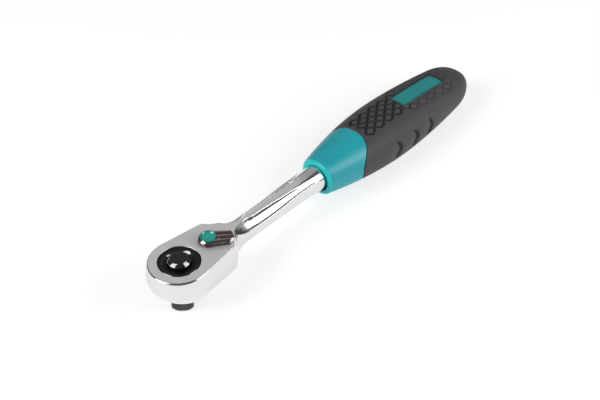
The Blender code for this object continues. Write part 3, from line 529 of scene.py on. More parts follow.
def half_section(x, half, head_share, top, top_half, edge, flute_shape, relief):
    """Half a section as (reach, height) points, from the middle of the top round to the middle below.

    The head share says how much of the head's barrel shape is left; the rest is the shank's shape.
    The flute's shape is its hollow, which bulges if it is below zero, and how far it has become a flute.
    """
    hollow, begun = flute_shape
    side = mix(SHANK_SIDE, AXIS_HEIGHT, head_share)
    under = mix(SHANK_UNDER, HEAD_BOTTOM, head_share)

    def wall_at(height):
        up = max(0.0, (height - side) / (HEAD_TOP - side))
        return half - head_share * head_inset(height) - neck_draft(x) * up ** NECK_TOP_POWER

    wall = wall_at(edge)
    run = wall - top_half
    fall = top - edge
    length = math.hypot(run, fall)

    def flute(share):
        sink = hollow * mix(share * (1.0 - share), flute_sink(share), begun) / length
        return (top_half + run * share - sink * fall, top - fall * share - sink * run)

    top_round = min(EDGE_SHARE, top_edge(x) / length)
    low_round = min(EDGE_SHARE, LOW_EDGE_RADIUS / length)
    flat_end = top_half - top_edge(x)
    points = []
    for share in shares(TOP_STEPS):
        reach = flat_end * math.sin(math.pi / 2 * share)
        points.append((reach, top + relief(reach)))
    points += bezier(points[-1], (top_half, top), flute(top_round), ROUND_STEPS)
    for share in shares(FLUTE_STEPS, 1):
        points.append(flute(mix(top_round, 1.0 - low_round, share)))
    wall_top = edge - LOW_EDGE_RADIUS
    points += bezier(points[-1], (wall, edge), (wall_at(wall_top), wall_top), ROUND_STEPS)
    for share in shares(SIDE_STEPS, 1):
        height = mix(wall_top, side, share)
        points.append((wall_at(height), height))
    for share in shares(UNDER_STEPS, 1):
        angle = math.pi / 2 * share
        drop = math.sin(angle)
        rounded = half * max(UNDER_LEAST, math.cos(angle))
        drawn_in = half - foot_draft(x) * drop ** HEAD_FOOT_POWER
        points.append((mix(rounded, drawn_in, head_share), mix(side, under, drop)))
    foot = points[-1][0]
    for share in shares(FLAT_STEPS, 1):
        points.append((foot * (1.0 - share), under))
    return points


def plain_relief(reach):
    return 0.0


def head_edge(x):
    """The rounding of the head's top edge: larger round the nose than along the flanks."""
    return mix(NOSE_EDGE, FLANK_EDGE, smooth(x, -HEAD_RADIUS / 2, HEAD_RADIUS / 2))


def head_section(x, half):
    edge = head_edge(x)
    top_half = half - HEAD_TOP_DRAFT - edge
    bulge = (EDGE_BULGE * edge, 0.0)
    return half_section(x, half, 1.0, HEAD_TOP, top_half, HEAD_TOP - edge, bulge, plain_relief)


def flank_slope():
    """How fast the head's straight flank draws in, and where it leaves the round front."""
    corner = math.atan2(SHOULDER_HALF_WIDTH, SHOULDER_X)
    tangent = corner + math.acos(HEAD_RADIUS / math.hypot(SHOULDER_X, SHOULDER_HALF_WIDTH))
    return 1.0 / math.tan(tangent), tangent


def bar_half_width(x):
    """The plan's half width: flank, rounded shoulder, neck and shank."""
    length = NECK_END - SHOULDER_X
    rise = SHOULDER_HALF_WIDTH - SHANK_HALF_WIDTH
    along = (x - SHOULDER_X) / length
    if along < 0.0:
        neck = SHOULDER_HALF_WIDTH - NECK_POWER * rise * along
    else:
        neck = SHANK_HALF_WIDTH + rise * max(0.0, 1.0 - along) ** NECK_POWER
    flank = SHOULDER_HALF_WIDTH + flank_slope()[0] * (SHOULDER_X - min(x, NECK_END))
    return (flank + neck - math.hypot(flank - neck, SHOULDER_ROUND)) / 2


def opened(x, start, end, power):
    """How far a cut that starts at one place has opened at another, quickly first."""
    return 1.0 - (1.0 - clamp((x - start) / (end - start))) ** power


def bar_section(x):
    """The section at a place along the bar: boxy at the head, fluted on the shank, round at the collar."""
    head_share = clamp((NECK_END - x) / (NECK_END - SHOULDER_X)) ** NECK_POWER
    half = bar_half_width(x)
    top = mix(HEAD_TOP, SHANK_TOP, smooth(x, SHOULDER_X, NECK_LEVEL))
    top -= SHANK_TOP_FALL * smooth(x, PANEL_START, SHANK_FALL_END)
    plain_top = half - HEAD_TOP_DRAFT * head_share - neck_draft(x) - FLANK_EDGE
    panel_half = mix(PANEL_NEAR_HALF_WIDTH, PANEL_FAR_HALF_WIDTH, smooth(x, PANEL_START, ROUND_FROM))
    top_half = mix(SCOOP_TOP_HALF_WIDTH, panel_half, smooth(x, SCOOP_END, PANEL_START))
    top_half = mix(plain_top, top_half, opened(x, SCOOP_START, SCOOP_END, SCOOP_POWER))
    flute_edge = FLUTE_EDGE + FLUTE_EDGE_RISE * smooth(x, FLUTE_RISE_FROM, ROUND_FROM)
    edge = mix(top - FLANK_EDGE, flute_edge, opened(x, DIVE_START, DIVE_END, DIVE_POWER))
    chord_tilt = math.atan2(top - edge, half - top_half)
    steeper = min(FLUTE_STEEPEST, math.tan(math.radians(FLUTE_WALL_TILT) - chord_tilt))
    hollow = steeper * math.hypot(half - top_half, top - edge)
    begun = smooth(x, DIVE_START, FLUTE_BEGUN)
    flute_shape = (mix(EDGE_BULGE * FLANK_EDGE, hollow, begun), begun)
    inside = smooth(x, PANEL_FROM, PANEL_FROM + PANEL_RAMP) - smooth(x, PANEL_TO, PANEL_TO + PANEL_RAMP)

    def relief(reach):
        border = top_half - max(PANEL_BORDER, top_edge(x))
        sunk = inside * (1.0 - smooth(reach, border - PANEL_RAMP, border))
        turn = 2 * math.pi / STIPPLE_PITCH
        slanted = STIPPLE_SLANT[0] * x + STIPPLE_SLANT[1] * reach
        stipple = math.sin(turn * x) * math.cos(turn * reach) + math.sin(turn * slanted)
        return sunk * (STIPPLE_HEIGHT * stipple - PANEL_DEPTH)

    points = half_section(x, half, head_share, top, top_half, edge, flute_shape, relief)
    rounding = smooth(x, ROUND_FROM, GRIP_START)
    if rounding == 0.0:
        return points
    rounded = []
    for reach, height in points:
        angle = math.atan2(height - AXIS_HEIGHT, reach)
        rounded.append((
            mix(reach, ROUND_RADIUS * math.cos(angle), rounding),
            mix(height, AXIS_HEIGHT + ROUND_RADIUS * math.sin(angle), rounding),
        ))
    return rounded


def tang_point(angle, gap=0.0):
    """A point of the tang's section, round with two flats, grown by a gap."""
    radius = TANG_RADIUS + gap
    flat = TANG_FLAT + gap
    return radius * math.cos(angle), AXIS_HEIGHT + max(-flat, min(flat, radius * math.sin(angle)))


def tang_section(section):
    return [tang_point(math.atan2(height - AXIS_HEIGHT, reach)) for reach, height in section]


def station(base_x, direction, section):
    """A whole ring from a half section that runs out from the middle line in a direction, and its mirror."""
    half = [(base_x + direction[0] * reach, direction[1] * reach, height) for reach, height in section]
    return half + [(x, -y, z) for x, y, z in half[-2:0:-1]]


def forging_rings():
    tangent = flank_slope()[1]
    rings = []
    for share in shares(ARC_STATIONS):
        angle = mix(math.pi, tangent, share)
        x = HEAD_RADIUS * math.cos(angle)
        rings.append(station(0.0, (math.cos(angle), math.sin(angle)), head_section(x, HEAD_RADIUS)))
    start = Vector((HEAD_RADIUS * math.cos(tangent), HEAD_RADIUS * math.sin(tangent)))
    end = Vector((FLANK_END, bar_half_width(FLANK_END)))
    for share in shares(FLANK_STATIONS, 1)[:-1]:
        base = Vector((FLANK_END * share, 0.0))
        place = start.lerp(end, share)
        outwards = place - base
        rings.append(station(base.x, outwards.normalized(), head_section(place.x, outwards.length)))
    for first, last, count in (
        (FLANK_END, NECK_END, NECK_STATIONS),
        (NECK_END, FINE_END, SHANK_STATIONS),
        (FINE_END, GRIP_START, ROUND_STATIONS),
    ):
        for share in shares(count)[:-1]:
            x = mix(first, last, share)
            rings.append(station(x, (0.0, 1.0), bar_section(x)))
    at_collar = bar_section(GRIP_START)
    tang = tang_section(at_collar)
    ends = {GRIP_START: at_collar, TANG_START: at_collar, TANG_START + END_PLAY: tang, TANG_END: tang}
    for x, section in ends.items():
        rings.append(station(x, (0.0, 1.0), section))
    return rings


DISC_RADIUS = 9.1
DISC_GAP = 0.15
HEAD_BORE = GEAR_TIP + RUN_GAP
BORE_CHAMFER = 0.12
RING_GROOVE = 0.6
PAWL_ROOM = 6.8
STEM_RADIUS = 2.3
STEM_ROOM = STEM_RADIUS + 0.6
STEM_FOOT_RADIUS = 1.5
CLIP_ROOM = 3.0
PAWL_PIN_RADIUS = 1.0


def head_cavity():
    """What is bored out of the head: the gear's bore, the pawl's pocket, and the stem's and pin's holes."""
    below = HEAD_BOTTOM - CUT_PAST
    above = HEAD_TOP + CUT_PAST
    ceiling = GEAR_TOP + END_PLAY
    floor = PAWL_BOTTOM - END_PLAY
    low_edge = HEAD_BOTTOM + BORE_CHAMFER
    hole = DISC_RADIUS + DISC_GAP
    bore = stepped(
        above, (hole + BORE_CHAMFER, HEAD_TOP), (hole, ceiling, BORE_CHAMFER),
        (HEAD_BORE, RING_TOP + FIT_GAP), (HEAD_BORE + RING_GROOVE, RING_BOTTOM - FIT_GAP),
        (HEAD_BORE, low_edge), (HEAD_BORE + BORE_CHAMFER, below, BORE_CHAMFER),
    )
    cavity = turned("gear_bore", bore, TURN_STEPS, BORE_STEEL)
    back = LEVER_PIVOT.x - STEM_ROOM / 2
    pocket = [(0.0, -PAWL_ROOM), (back, -PAWL_ROOM), (back, PAWL_ROOM), (0.0, PAWL_ROOM)]
    join(cavity, prism("pawl_pocket", pocket, floor, ceiling - FIT_GAP, BORE_STEEL))
    stem = STEM_RADIUS + FIT_GAP
    bore = stepped(
        above, (stem + BORE_CHAMFER, HEAD_TOP), (stem, ceiling - 2 * FIT_GAP, BORE_CHAMFER),
        (STEM_ROOM, floor - FIT_GAP), (STEM_FOOT_RADIUS + FIT_GAP, CLIP_TOP + END_PLAY),
        (CLIP_ROOM, low_edge), (CLIP_ROOM + BORE_CHAMFER, below, BORE_CHAMFER),
    )
    join(cavity, turned("stem_bore", bore, SMALL_STEPS, BORE_STEEL, centre=(LEVER_PIVOT.x, 0.0)))
    pin = stepped(PAWL_PIN_TOP + FIT_GAP, (PAWL_PIN_RADIUS + FIT_GAP, below))
    join(cavity, turned("pin_bore", pin, SMALL_STEPS, BORE_STEEL, centre=(PAWL_PIN.x, 0.0)))
    return cavity


def on_blasted_top(middle, normal):
    """Whether a face of the head lies on its level top or in the shank's panel."""
    if middle.z <= LOWEST_TOP or middle.x >= PANEL_TO + PANEL_FADE:
        return False
    in_panel = abs(middle.y) < PANEL_NEAR_HALF_WIDTH and middle.x > PANEL_FROM
    return normal.z > (PANEL_LEVEL if in_panel else TOP_LEVEL)


def in_scoop_shade(middle, normal):
    """Whether a face of the head lies in the scoops behind the shoulders, where darker chrome is painted as
    shade.
    """
    inside = SCOOP_FROM < middle.x < NECK_FADE[1] and middle.z > FLUTE_EDGE
    return inside and SCOOP_STEEPEST < normal.z < TOP_LEVEL


def make_head():
    head = skin("head_forging", forging_rings(), SATIN_CHROME, capped=(False, True))
    fade(SATIN_TOP, SATIN_CHROME, PANEL_TO - PANEL_FADE, PANEL_TO + PANEL_FADE)
    fade(NECK_SCOOP_PAINTED_SHADE, SATIN_CHROME, *NECK_FADE)
    paint(head, SATIN_TOP, on_blasted_top)
    # Painted shade: darker chrome on the scoops behind the shoulders
    paint(head, NECK_SCOOP_PAINTED_SHADE, in_scoop_shade)
    cut(head, head_cavity())
    dress(head, "handle", "head_body")


# Gear, disc and square drive in one spindle

DRIVE_SIZE = 9.525
DRIVE_LENGTH = HEAD_BOTTOM - 0.8
DRIVE_ROUNDING = 0.9
DRIVE_OVERLAP = 0.5
SQUARE_CORNER = 60.0
HUB_RADIUS = DRIVE_SIZE / math.sqrt(2) + 0.5
TIP_RADIUS = 3.4
TIP_LENGTH = 6.5
TIP_STEPS = 14
TEETH = 48
TOOTH_DEPTH = 0.75
TOOTH_TIP = 0.22
TOOTH_ROOT = 0.24
BAND_INNER = 7.2
DISH_DEPTH = 0.8
DISC_CHAMFER = 0.22
SEAL_WIRE = 0.35
SEAL_DEPTH = 1.5
BUTTON_BORE = BUTTON_RADIUS + RUN_GAP
SPRING_SEAT = 15.6
BUTTON_TRAVEL = 2.2
PIN_END_PLAY = 0.4
BALL_BEARING = 45.0
BALL_RADIUS = (BALL_HIGH.z - BALL_LOW.z) / 2


def tooth_outline():
    pitch = 2 * math.pi / TEETH
    root = GEAR_TIP - TOOTH_DEPTH
    half_tip = TOOTH_TIP / 2 / GEAR_TIP
    half_root = pitch / 2 - TOOTH_ROOT / 2 / root
    points = []
    corners = ((root, -half_root), (GEAR_TIP, -half_tip), (GEAR_TIP, half_tip), (root, half_root))
    for tooth in even_angles(TEETH):
        for radius, turn in corners:
            points.append((radius * math.cos(tooth + turn), radius * math.sin(tooth + turn)))
    return points


def drive_square():
    half = DRIVE_SIZE / 2
    corners = [(-half, -half), (half, -half), (half, half), (-half, half)]
    square = prism("drive_square", corners, 0.0, HEAD_BOTTOM + DRIVE_OVERLAP, DARK_STEEL)
    bevelled(square, DRIVE_ROUNDING, ROUND_STEPS, SQUARE_CORNER)
    tip = [(0.0, -TINY), (TIP_RADIUS, -TINY)]
    for share in shares(TIP_STEPS, 1):
        swell = math.sqrt(1.0 - (1.0 - share) ** 2)
        tip.append((mix(TIP_RADIUS, HUB_RADIUS, swell), TIP_LENGTH * share))
    tip += [(HUB_RADIUS, HEAD_BOTTOM + CUT_PAST), (0.0, HEAD_BOTTOM + CUT_PAST)]
    combine(square, turned("turned_tip", tip, TURN_STEPS, DARK_STEEL), "INTERSECT")
    square.data.transform(Matrix.Rotation(math.radians(BALL_BEARING), 4, "Z"))
    return square


def make_drive():
    seal_middle = DISC_TOP - SEAL_DEPTH
    seal_half = SEAL_WIRE + FIT_GAP
    gear_bottom = PAWL_BOTTOM - END_PLAY
    profile = [(0.0, DISC_TOP), (DISC_RADIUS - DISC_CHAMFER, DISC_TOP)]
    profile += stepped(
        DISC_TOP - DISC_CHAMFER, (DISC_RADIUS, seal_middle + seal_half),
        (DISC_RADIUS - 2 * SEAL_WIRE, seal_middle - seal_half),
        (DISC_RADIUS, (gear_bottom + GEAR_TOP) / 2), (HUB_RADIUS, DRIVE_LENGTH),
    )[1:]
    drive = turned("drive_spindle", profile, TURN_STEPS, BLACK_OXIDE)
    join(drive, prism("gear_rim", tooth_outline(), gear_bottom, GEAR_TOP, DARK_STEEL))
    join(drive, drive_square())
    above = DISC_TOP + CUT_PAST
    dish_floor = DISC_TOP - DISH_DEPTH
    bore_end = PIN_BOTTOM - BUTTON_TRAVEL - PIN_END_PLAY
    bore = [
        (0.0, above), (BAND_INNER + DISC_CHAMFER, above), (BAND_INNER + DISC_CHAMFER, DISC_TOP),
        (BAND_INNER, DISC_TOP - DISC_CHAMFER / 2), (BAND_INNER - DISH_DEPTH, dish_floor),
        (BUTTON_BORE + DISC_CHAMFER, dish_floor),
    ]
    bore += stepped(
        dish_floor - DISC_CHAMFER, (BUTTON_BORE, SPRING_SEAT), (PIN_RADIUS + FIT_GAP, bore_end),
    )[1:]
    cut(drive, turned("release_bore", bore, TURN_STEPS, BLACK_OXIDE))
    ball_bore = stepped(DRIVE_SIZE, (BALL_RADIUS + FIT_GAP, PIN_RADIUS / 2))
    hole = turned("ball_hole", ball_bore, SMALL_STEPS, DARK_STEEL)
    lay = Matrix.Rotation(math.radians(BALL_BEARING), 4, "Z") @ Matrix.Rotation(math.pi / 2, 4, "Y")
    hole.data.transform(Matrix.Translation((0.0, 0.0, (BALL_LOW.z + BALL_HIGH.z) / 2 * MM)) @ lay)
    cut(drive, hole)
    paint(drive, POLISHED_BLACK, lambda middle, normal: (
        middle.z > dish_floor - DISC_CHAMFER and SLOPED < normal.z < NEAR_LEVEL
    ))
    dress(drive, "drive", "drive_gear")


BUTTON_FACETS = 12
BUTTON_TOP_APOTHEM = 3.7
BUTTON_CHAMFER = 0.55
BUTTON_WALL = 2.4
BUTTON_EDGE = 0.1
BUTTON_EDGE_STEPS = 2
FACET_ANGLE = 25.0


def make_button():
    profile = stepped(BUTTON_TOP, (BUTTON_RADIUS, BUTTON_BOTTOM), (PIN_RADIUS + FIT_GAP, PIN_TOP + FIT_GAP))
    button = turned("push_button", profile, TURN_STEPS, BLACK_OXIDE)
    half_facet = math.pi / BUTTON_FACETS
    turn = Matrix.Rotation(half_facet, 3, "Z")
    rings = []
    for height, apothem in (
        (BUTTON_BOTTOM - CUT_PAST, BUTTON_RADIUS + CUT_PAST),
        (BUTTON_TOP - BUTTON_WALL, BUTTON_RADIUS + CUT_PAST / 2),
        (BUTTON_TOP - BUTTON_CHAMFER, BUTTON_TOP_APOTHEM + BUTTON_CHAMFER),
        (BUTTON_TOP, BUTTON_TOP_APOTHEM),
    ):
        ring = circle(apothem / math.cos(half_facet), height, BUTTON_FACETS)
        rings.append([tuple(turn @ Vector(point)) for point in ring])
    combine(button, skin("facets", rings, BLACK_OXIDE), "INTERSECT")
    bevelled(button, BUTTON_EDGE, BUTTON_EDGE_STEPS, FACET_ANGLE)
    paint(button, MATT_BLACK, lambda middle, normal: normal.z > LEVEL and middle.z > BUTTON_TOP - FIT_GAP)
    paint(button, POLISHED_BLACK, lambda middle, normal: SLOPED < normal.z < LEVEL)
    dress(button, "button", "release_button", FACET_ANGLE)


COIL_STEPS = 24
WIRE_SIDES = 12
COIL_ENDS = (0.06, 0.94)
COIL_EASED = 0.3


def coil(name, radius, wire, bottom, top, turns, material):
    """A coil spring about the drive axis, with end turns that lie flatter."""
    rings = []
    for share in shares(turns * COIL_STEPS):
        angle = 2 * math.pi * turns * share
        height = mix(bottom, top, mix(share, smooth(share, *COIL_ENDS), COIL_EASED))
        ring = []
        for turn in even_angles(WIRE_SIDES):
            out = radius + wire * math.cos(turn)
            ring.append((out * math.cos(angle), out * math.sin(angle), height + wire * math.sin(turn)))
        rings.append(ring)
    return skin(name, rings, material)


SPRING_WIRE = 0.32
SPRING_TURNS = 5


def make_release_parts():
    reach = SPRING_WIRE + FIT_GAP
    spring = coil("lift_spring", (PIN_RADIUS + BUTTON_RADIUS) / 2, SPRING_WIRE,
                  SPRING_SEAT + reach, BUTTON_BOTTOM - reach, SPRING_TURNS, SPRING_STEEL)
    dress(spring, "drive", "button_spring")
    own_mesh(spring)
    mesh = bpy.data.meshes.new("detent_ball")
    work = bmesh.new()
    bmesh.ops.create_icosphere(work, subdivisions=4, radius=BALL_RADIUS * MM)
    work.to_mesh(mesh)
    work.free()
    mesh.transform(Matrix.Translation((BALL_LOW + BALL_HIGH) / 2 * MM))
    dress(add_object("detent_ball", mesh, SPRING_STEEL), "ball", "lock_ball")


# Reversing lever

LEVER_SWING = 41.0
LEVER_BOTTOM = HEAD_TOP + RUN_GAP / 2
LEVER_PLATE = 1.3
LEVER_SHARP = 40.0
LEVER_SIDE = 0.35
LEVER_UPRIGHT = 0.3
LEVER_END = 0.5
BOSS_RADIUS = 4.6
BOSS_RIM = 0.15
BOSS_CHAMFER = 0.85
BOSS_FOOT = 0.4
BROW_OUT = 0.6
BROW_DOWN = 0.4
LEVER_REACH = 10.9
WAIST_AT = 4.6
WAIST_FROM = 48.0
WAIST_HALF = 3.2
PLATE_HALF = 3.1
PLATE_END = 8.9
PLATE_INSET = 0.2
PLATE_CORNER = 1.0
INLAY_RADIUS = 3.45
INLAY_THICKNESS = 1.3
INLAY_SEAT = LEVER_TOP - INLAY_THICKNESS
INLAY_SUNK = 0.85
INLAY_FLAT = 2.4
INLAY_RISE = 0.8
INLAY_POWER = 1.5
INLAY_STEPS = 12
RIB_START = 0.0
RIB_PLACES = (-1.9, 0.0, 1.9)
RIB_HALF_START = 1.55
RIB_HALF_END = 1.24
RIB_SLANT = 0.7
RIB_TIP = 0.9
RIB_FOOT = 0.7
RIB_FULLNESS = 0.8
RIB_STEPS = 36
RIB_SIDES = 32
PLUNGER_RADIUS = 0.8
PLUNGER_BACK = 1.1
SEAL_GROOVE = 0.6
CLIP_GROOVE = 0.3


def lever_outline():
    """The lever's thin floor: a round boss and a waisted tail."""
    half = arc(0.0, 0.0, BOSS_RADIUS - PLATE_INSET, 180.0, WAIST_FROM, SMALL_STEPS)
    half.append((WAIST_AT, WAIST_HALF))
    half += arc(PLATE_END - PLATE_CORNER, PLATE_HALF - PLATE_CORNER, PLATE_CORNER, 90.0, 0.0, ROUND_STEPS)
    return half + [(x, -y) for x, y in half[-1:0:-1]]


def lever_rib(place):
    """One thumb rib: a rounded bar that runs out along the tail and ends in a slanted face.

    Its place across the tail is given in half widths of the rib.
    """
    middle_height = LEVER_BOTTOM + RIB_FOOT
    rings = []
    for share in shares(RIB_STEPS):
        half = mix(RIB_HALF_START, RIB_HALF_END, share)
        ring = []
        for turn in even_angles(RIB_SIDES):
            up = signed_power(math.sin(turn), RIB_FULLNESS)
            tall = LEVER_TOP - middle_height if up > 0.0 else RIB_FOOT
            across = half * (place + math.cos(turn))
            end = LEVER_REACH - RIB_SLANT * max(0.0, abs(across) - RIB_TIP)
            ring.append((mix(RIB_START, end, share), across, middle_height + tall * up))
        rings.append(ring)
    return skin("rib", rings, DARK_CHROME)


def lever_stem():
    profile = stepped(
        LEVER_BOTTOM + LEVER_PLATE / 2, (STEM_RADIUS, SEAL_TOP + FIT_GAP),
        (STEM_RADIUS - SEAL_GROOVE, SEAL_BOTTOM - FIT_GAP), (STEM_RADIUS, PAWL_BOTTOM),
        (STEM_FOOT_RADIUS, CLIP_TOP + FIT_GAP), (STEM_FOOT_RADIUS - CLIP_GROOVE, CLIP_BOTTOM - FIT_GAP),
        (STEM_FOOT_RADIUS, LEVER_FOOT),
    )
    return turned("stem", profile, SMALL_STEPS, DARK_CHROME)


def plunger_hole():
    profile = stepped(STEM_ROOM + CUT_PAST, (PLUNGER_RADIUS + FIT_GAP, PLUNGER_BACK - STEM_RADIUS))
    hole = turned("plunger_hole", profile, SMALL_STEPS, DARK_CHROME)
    lie_down = Matrix.Rotation(-math.pi / 2, 4, "Y")
    hole.data.transform(Matrix.Translation((0.0, 0.0, PLUNGER_HEIGHT * MM)) @ lie_down)
    return hole


def place_lever(obj):
    """From the lever's own axes, tail along +X, to where it stands on the head."""
    turn = Matrix.Rotation(math.radians(-LEVER_SWING), 4, "Z")
    obj.data.transform(Matrix.Translation((LEVER_PIVOT.x * MM, 0.0, 0.0)) @ turn)


def make_lever():
    lever = prism("thumb_lever", lever_outline(), LEVER_BOTTOM, LEVER_BOTTOM + LEVER_PLATE, DARK_CHROME)
    inner = INLAY_RADIUS + FIT_GAP
    rim = (inner + BOSS_RIM, LEVER_TOP)
    brow = (BOSS_RADIUS, LEVER_TOP - BOSS_CHAMFER)
    crown = (mix(rim[0], brow[0], BROW_OUT), mix(rim[1], brow[1], BROW_DOWN))
    boss = [(0.0, LEVER_TOP - FIT_GAP), (inner, LEVER_TOP - FIT_GAP), rim]
    boss += bezier(rim, crown, brow, 2 * ROUND_STEPS)
    boss += arc(BOSS_RADIUS - BOSS_FOOT, LEVER_BOTTOM + BOSS_FOOT, BOSS_FOOT, 0.0, -90.0, ROUND_STEPS)
    boss.append((0.0, LEVER_BOTTOM))
    join(lever, turned("boss", boss, TURN_STEPS, DARK_CHROME))
    for place in RIB_PLACES:
        join(lever, lever_rib(place))
    recess = stepped(LEVER_TOP + CUT_PAST, (inner, INLAY_SEAT))
    cut(lever, turned("inlay_recess", recess, TURN_STEPS, DARK_CHROME))
    join(lever, lever_stem())
    cut(lever, plunger_hole())
    # Painted shade: the lever's lower sides get the near-black chrome
    paint(lever, LEVER_SIDES_PAINTED_SHADE, lambda middle, normal: normal.z < LEVER_SIDE and normal.x < LEVER_END)
    # Painted highlight: paler chrome on the tail's slanted end faces
    paint(lever, SATIN_CHROME, lambda middle, normal: (
        abs(normal.z) < LEVER_UPRIGHT and normal.x > LEVER_END and middle.x > BOSS_RADIUS
    ))
    place_lever(lever)
    dress(lever, "lever", "reverse_lever", LEVER_SHARP)


def make_inlay():
    """The enamel dot: a flat middle that rises to its rim."""
    dish = [(0.0, LEVER_TOP - INLAY_SUNK)]
    for share in shares(INLAY_STEPS):
        height = LEVER_TOP - INLAY_SUNK + INLAY_RISE * share ** INLAY_POWER
        dish.append((mix(INLAY_FLAT, INLAY_RADIUS, share), height))
    dish += [(INLAY_RADIUS, INLAY_SEAT + FIT_GAP), (0.0, INLAY_SEAT + FIT_GAP)]
    inlay = turned("lever_dot", dish, TURN_STEPS, LEVER_ENAMEL)
    place_lever(inlay)
    dress(inlay, "lever", "lever_inlay")


# Grip

COLLAR_RADIUS = 8.75
COLLAR_LIP = 1.2
LIP_FROM = 170.0
LIP_FACING = -0.35
COLLAR_BORE = 6.8
MOUTH_ROUND = 0.25
MOUTH_OFF = (-0.3, -0.25)
SWELL_AT = 50.0
BUTT_AT = 96.0
BUTT_HALF_WIDTH = 12.5
BUTT_HALF_HEIGHT = 10.2
SWELL_RISE_POWER = 1.9
SWELL_FALL_POWER = 1.8
BUTT_ROUND_POWER = 2.4
GRIP_SQUARENESS = 2.3
COLLAR_SIDE_LENGTH = 19.3
COLLAR_ARCH = 8.3
COLLAR_ARCH_POWER = 1.6
CORE_ROD_RADIUS = 7.6
CORE_ROD_LENGTH = 92.0
SEAM_ROUND = 0.25
GRIP_SHARP = 50.0
BADGE_AT = 59.2
BADGE_LENGTH = 31.5
BADGE_WIDTH = 8.6
BADGE_THICKNESS = 1.2
BADGE_SUNK = 0.75
BADGE_GAP = 0.45
BADGE_CORNER = 0.7
BADGE_LEAST_CORNER = 0.05
BADGE_EDGE = 0.15
BADGE_EDGE_STEPS = 12
BADGE_ROWS = 7
BADGE_ROW = 0.6
BADGE_CLEAR = (SKIN_GAP + 0.2, SKIN_GAP + 0.8)

KNURL_LENGTH = 6.8
KNURL_WIDTH = 4.8
KNURL_CROSSING = 56.7
KNURL_DEPTH = 1.1
KNURL_GROOVE = 1.8
KNURL_HALF_WIDTH = 5.0
KNURL_SIDE_WIDTH = 7.4
KNURL_FADED = 0.5
KNURL_END = 96.0
KNURL_FRONT = 0.75 * KNURL_LENGTH
KNURL_EASE = 1.0
KNURL_POWER = 1.6
KNURL_ABOVE = 0.5
KNURL_SHADED = 0.45
KNURL_REACH = 0.66
FINGER_PLACES = (45.3, 58.3, 70.4)
FINGER_DEPTH = 1.3
FINGER_RUN = 9.0
FINGER_HEIGHT = 6.4
FINGER_BOW = 0.11
FINGER_LIP = (-0.35, 0.5)
FINGER_POWER = 1.6
FINGER_FADE = 3.0
FINGER_BELOW = 0.6
FINGER_SHADED = 0.68

COLLAR_STEPS = 160
COLLAR_ROWS = 40
TOP_COLUMNS = 96
SIDE_COLUMNS = 132
FRONT_ROWS = 110
BACK_ROWS = 170
BUTT_ROWS = 36


def grip_half(along, collar, swell, butt):
    if along < SWELL_AT:
        return collar + (swell - collar) * (1.0 - (1.0 - along / SWELL_AT) ** SWELL_RISE_POWER)
    past = (along - SWELL_AT) / (BUTT_AT - SWELL_AT)
    taper = swell - (swell - butt) * past ** SWELL_FALL_POWER
    if along < BUTT_AT:
        return taper
    end = min(1.0, (along - BUTT_AT) / (GRIP_LENGTH - BUTT_AT))
    return taper * (1.0 - end ** BUTT_ROUND_POWER) ** (1.0 / BUTT_ROUND_POWER)


def grip_sizes(along):
    wide = grip_half(along, COLLAR_RADIUS, SWELL_HALF_WIDTH, BUTT_HALF_WIDTH)
    tall = grip_half(along, COLLAR_RADIUS, SWELL_HALF_HEIGHT, BUTT_HALF_HEIGHT)
    return wide, tall


def oval(angle):
    power = 2 / GRIP_SQUARENESS
    return signed_power(math.cos(angle), power), signed_power(math.sin(angle), power)


def grip_point(along, angle, inset=0.0):
    wide, tall = grip_sizes(along)
    across, up = oval(angle)
    return (GRIP_START + along, (wide - inset) * across, AXIS_HEIGHT + (tall - inset) * up)


def grip_top(along, across):
    """The grip's height above a place on its top, before any pattern."""
    wide, tall = grip_sizes(along)
    share = min(1.0, abs(across) / wide)
    return AXIS_HEIGHT + tall * (1.0 - share ** GRIP_SQUARENESS) ** (1.0 / GRIP_SQUARENESS)


def collar_length(angle):
    """The joint line arches over the top, and more sharply below."""
    power = COLLAR_ARCH_POWER if math.sin(angle) > 0.0 else 2 * COLLAR_ARCH_POWER
    return COLLAR_SIDE_LENGTH + COLLAR_ARCH * abs(math.sin(angle)) ** power


def round_ring(along, radius, angles, shift=0.0):
    """A round ring placed along the grip by its angle; shift moves it towards the mouth's middle."""
    ring = []
    for angle in angles:
        across = radius * math.cos(angle) + shift * MOUTH_OFF[0]
        up = radius * math.sin(angle) + shift * MOUTH_OFF[1]
        ring.append((GRIP_START + along(angle), across, AXIS_HEIGHT + up))
    return ring


def at(place):
    """The same place along the grip at every angle."""
    return lambda angle: place


def row_between(point, start, end, share, angles):
    """A ring of the grip's points, part of the way from one line round the grip to another."""
    return [point(mix(start(angle), end(angle), share), angle) for angle in angles]


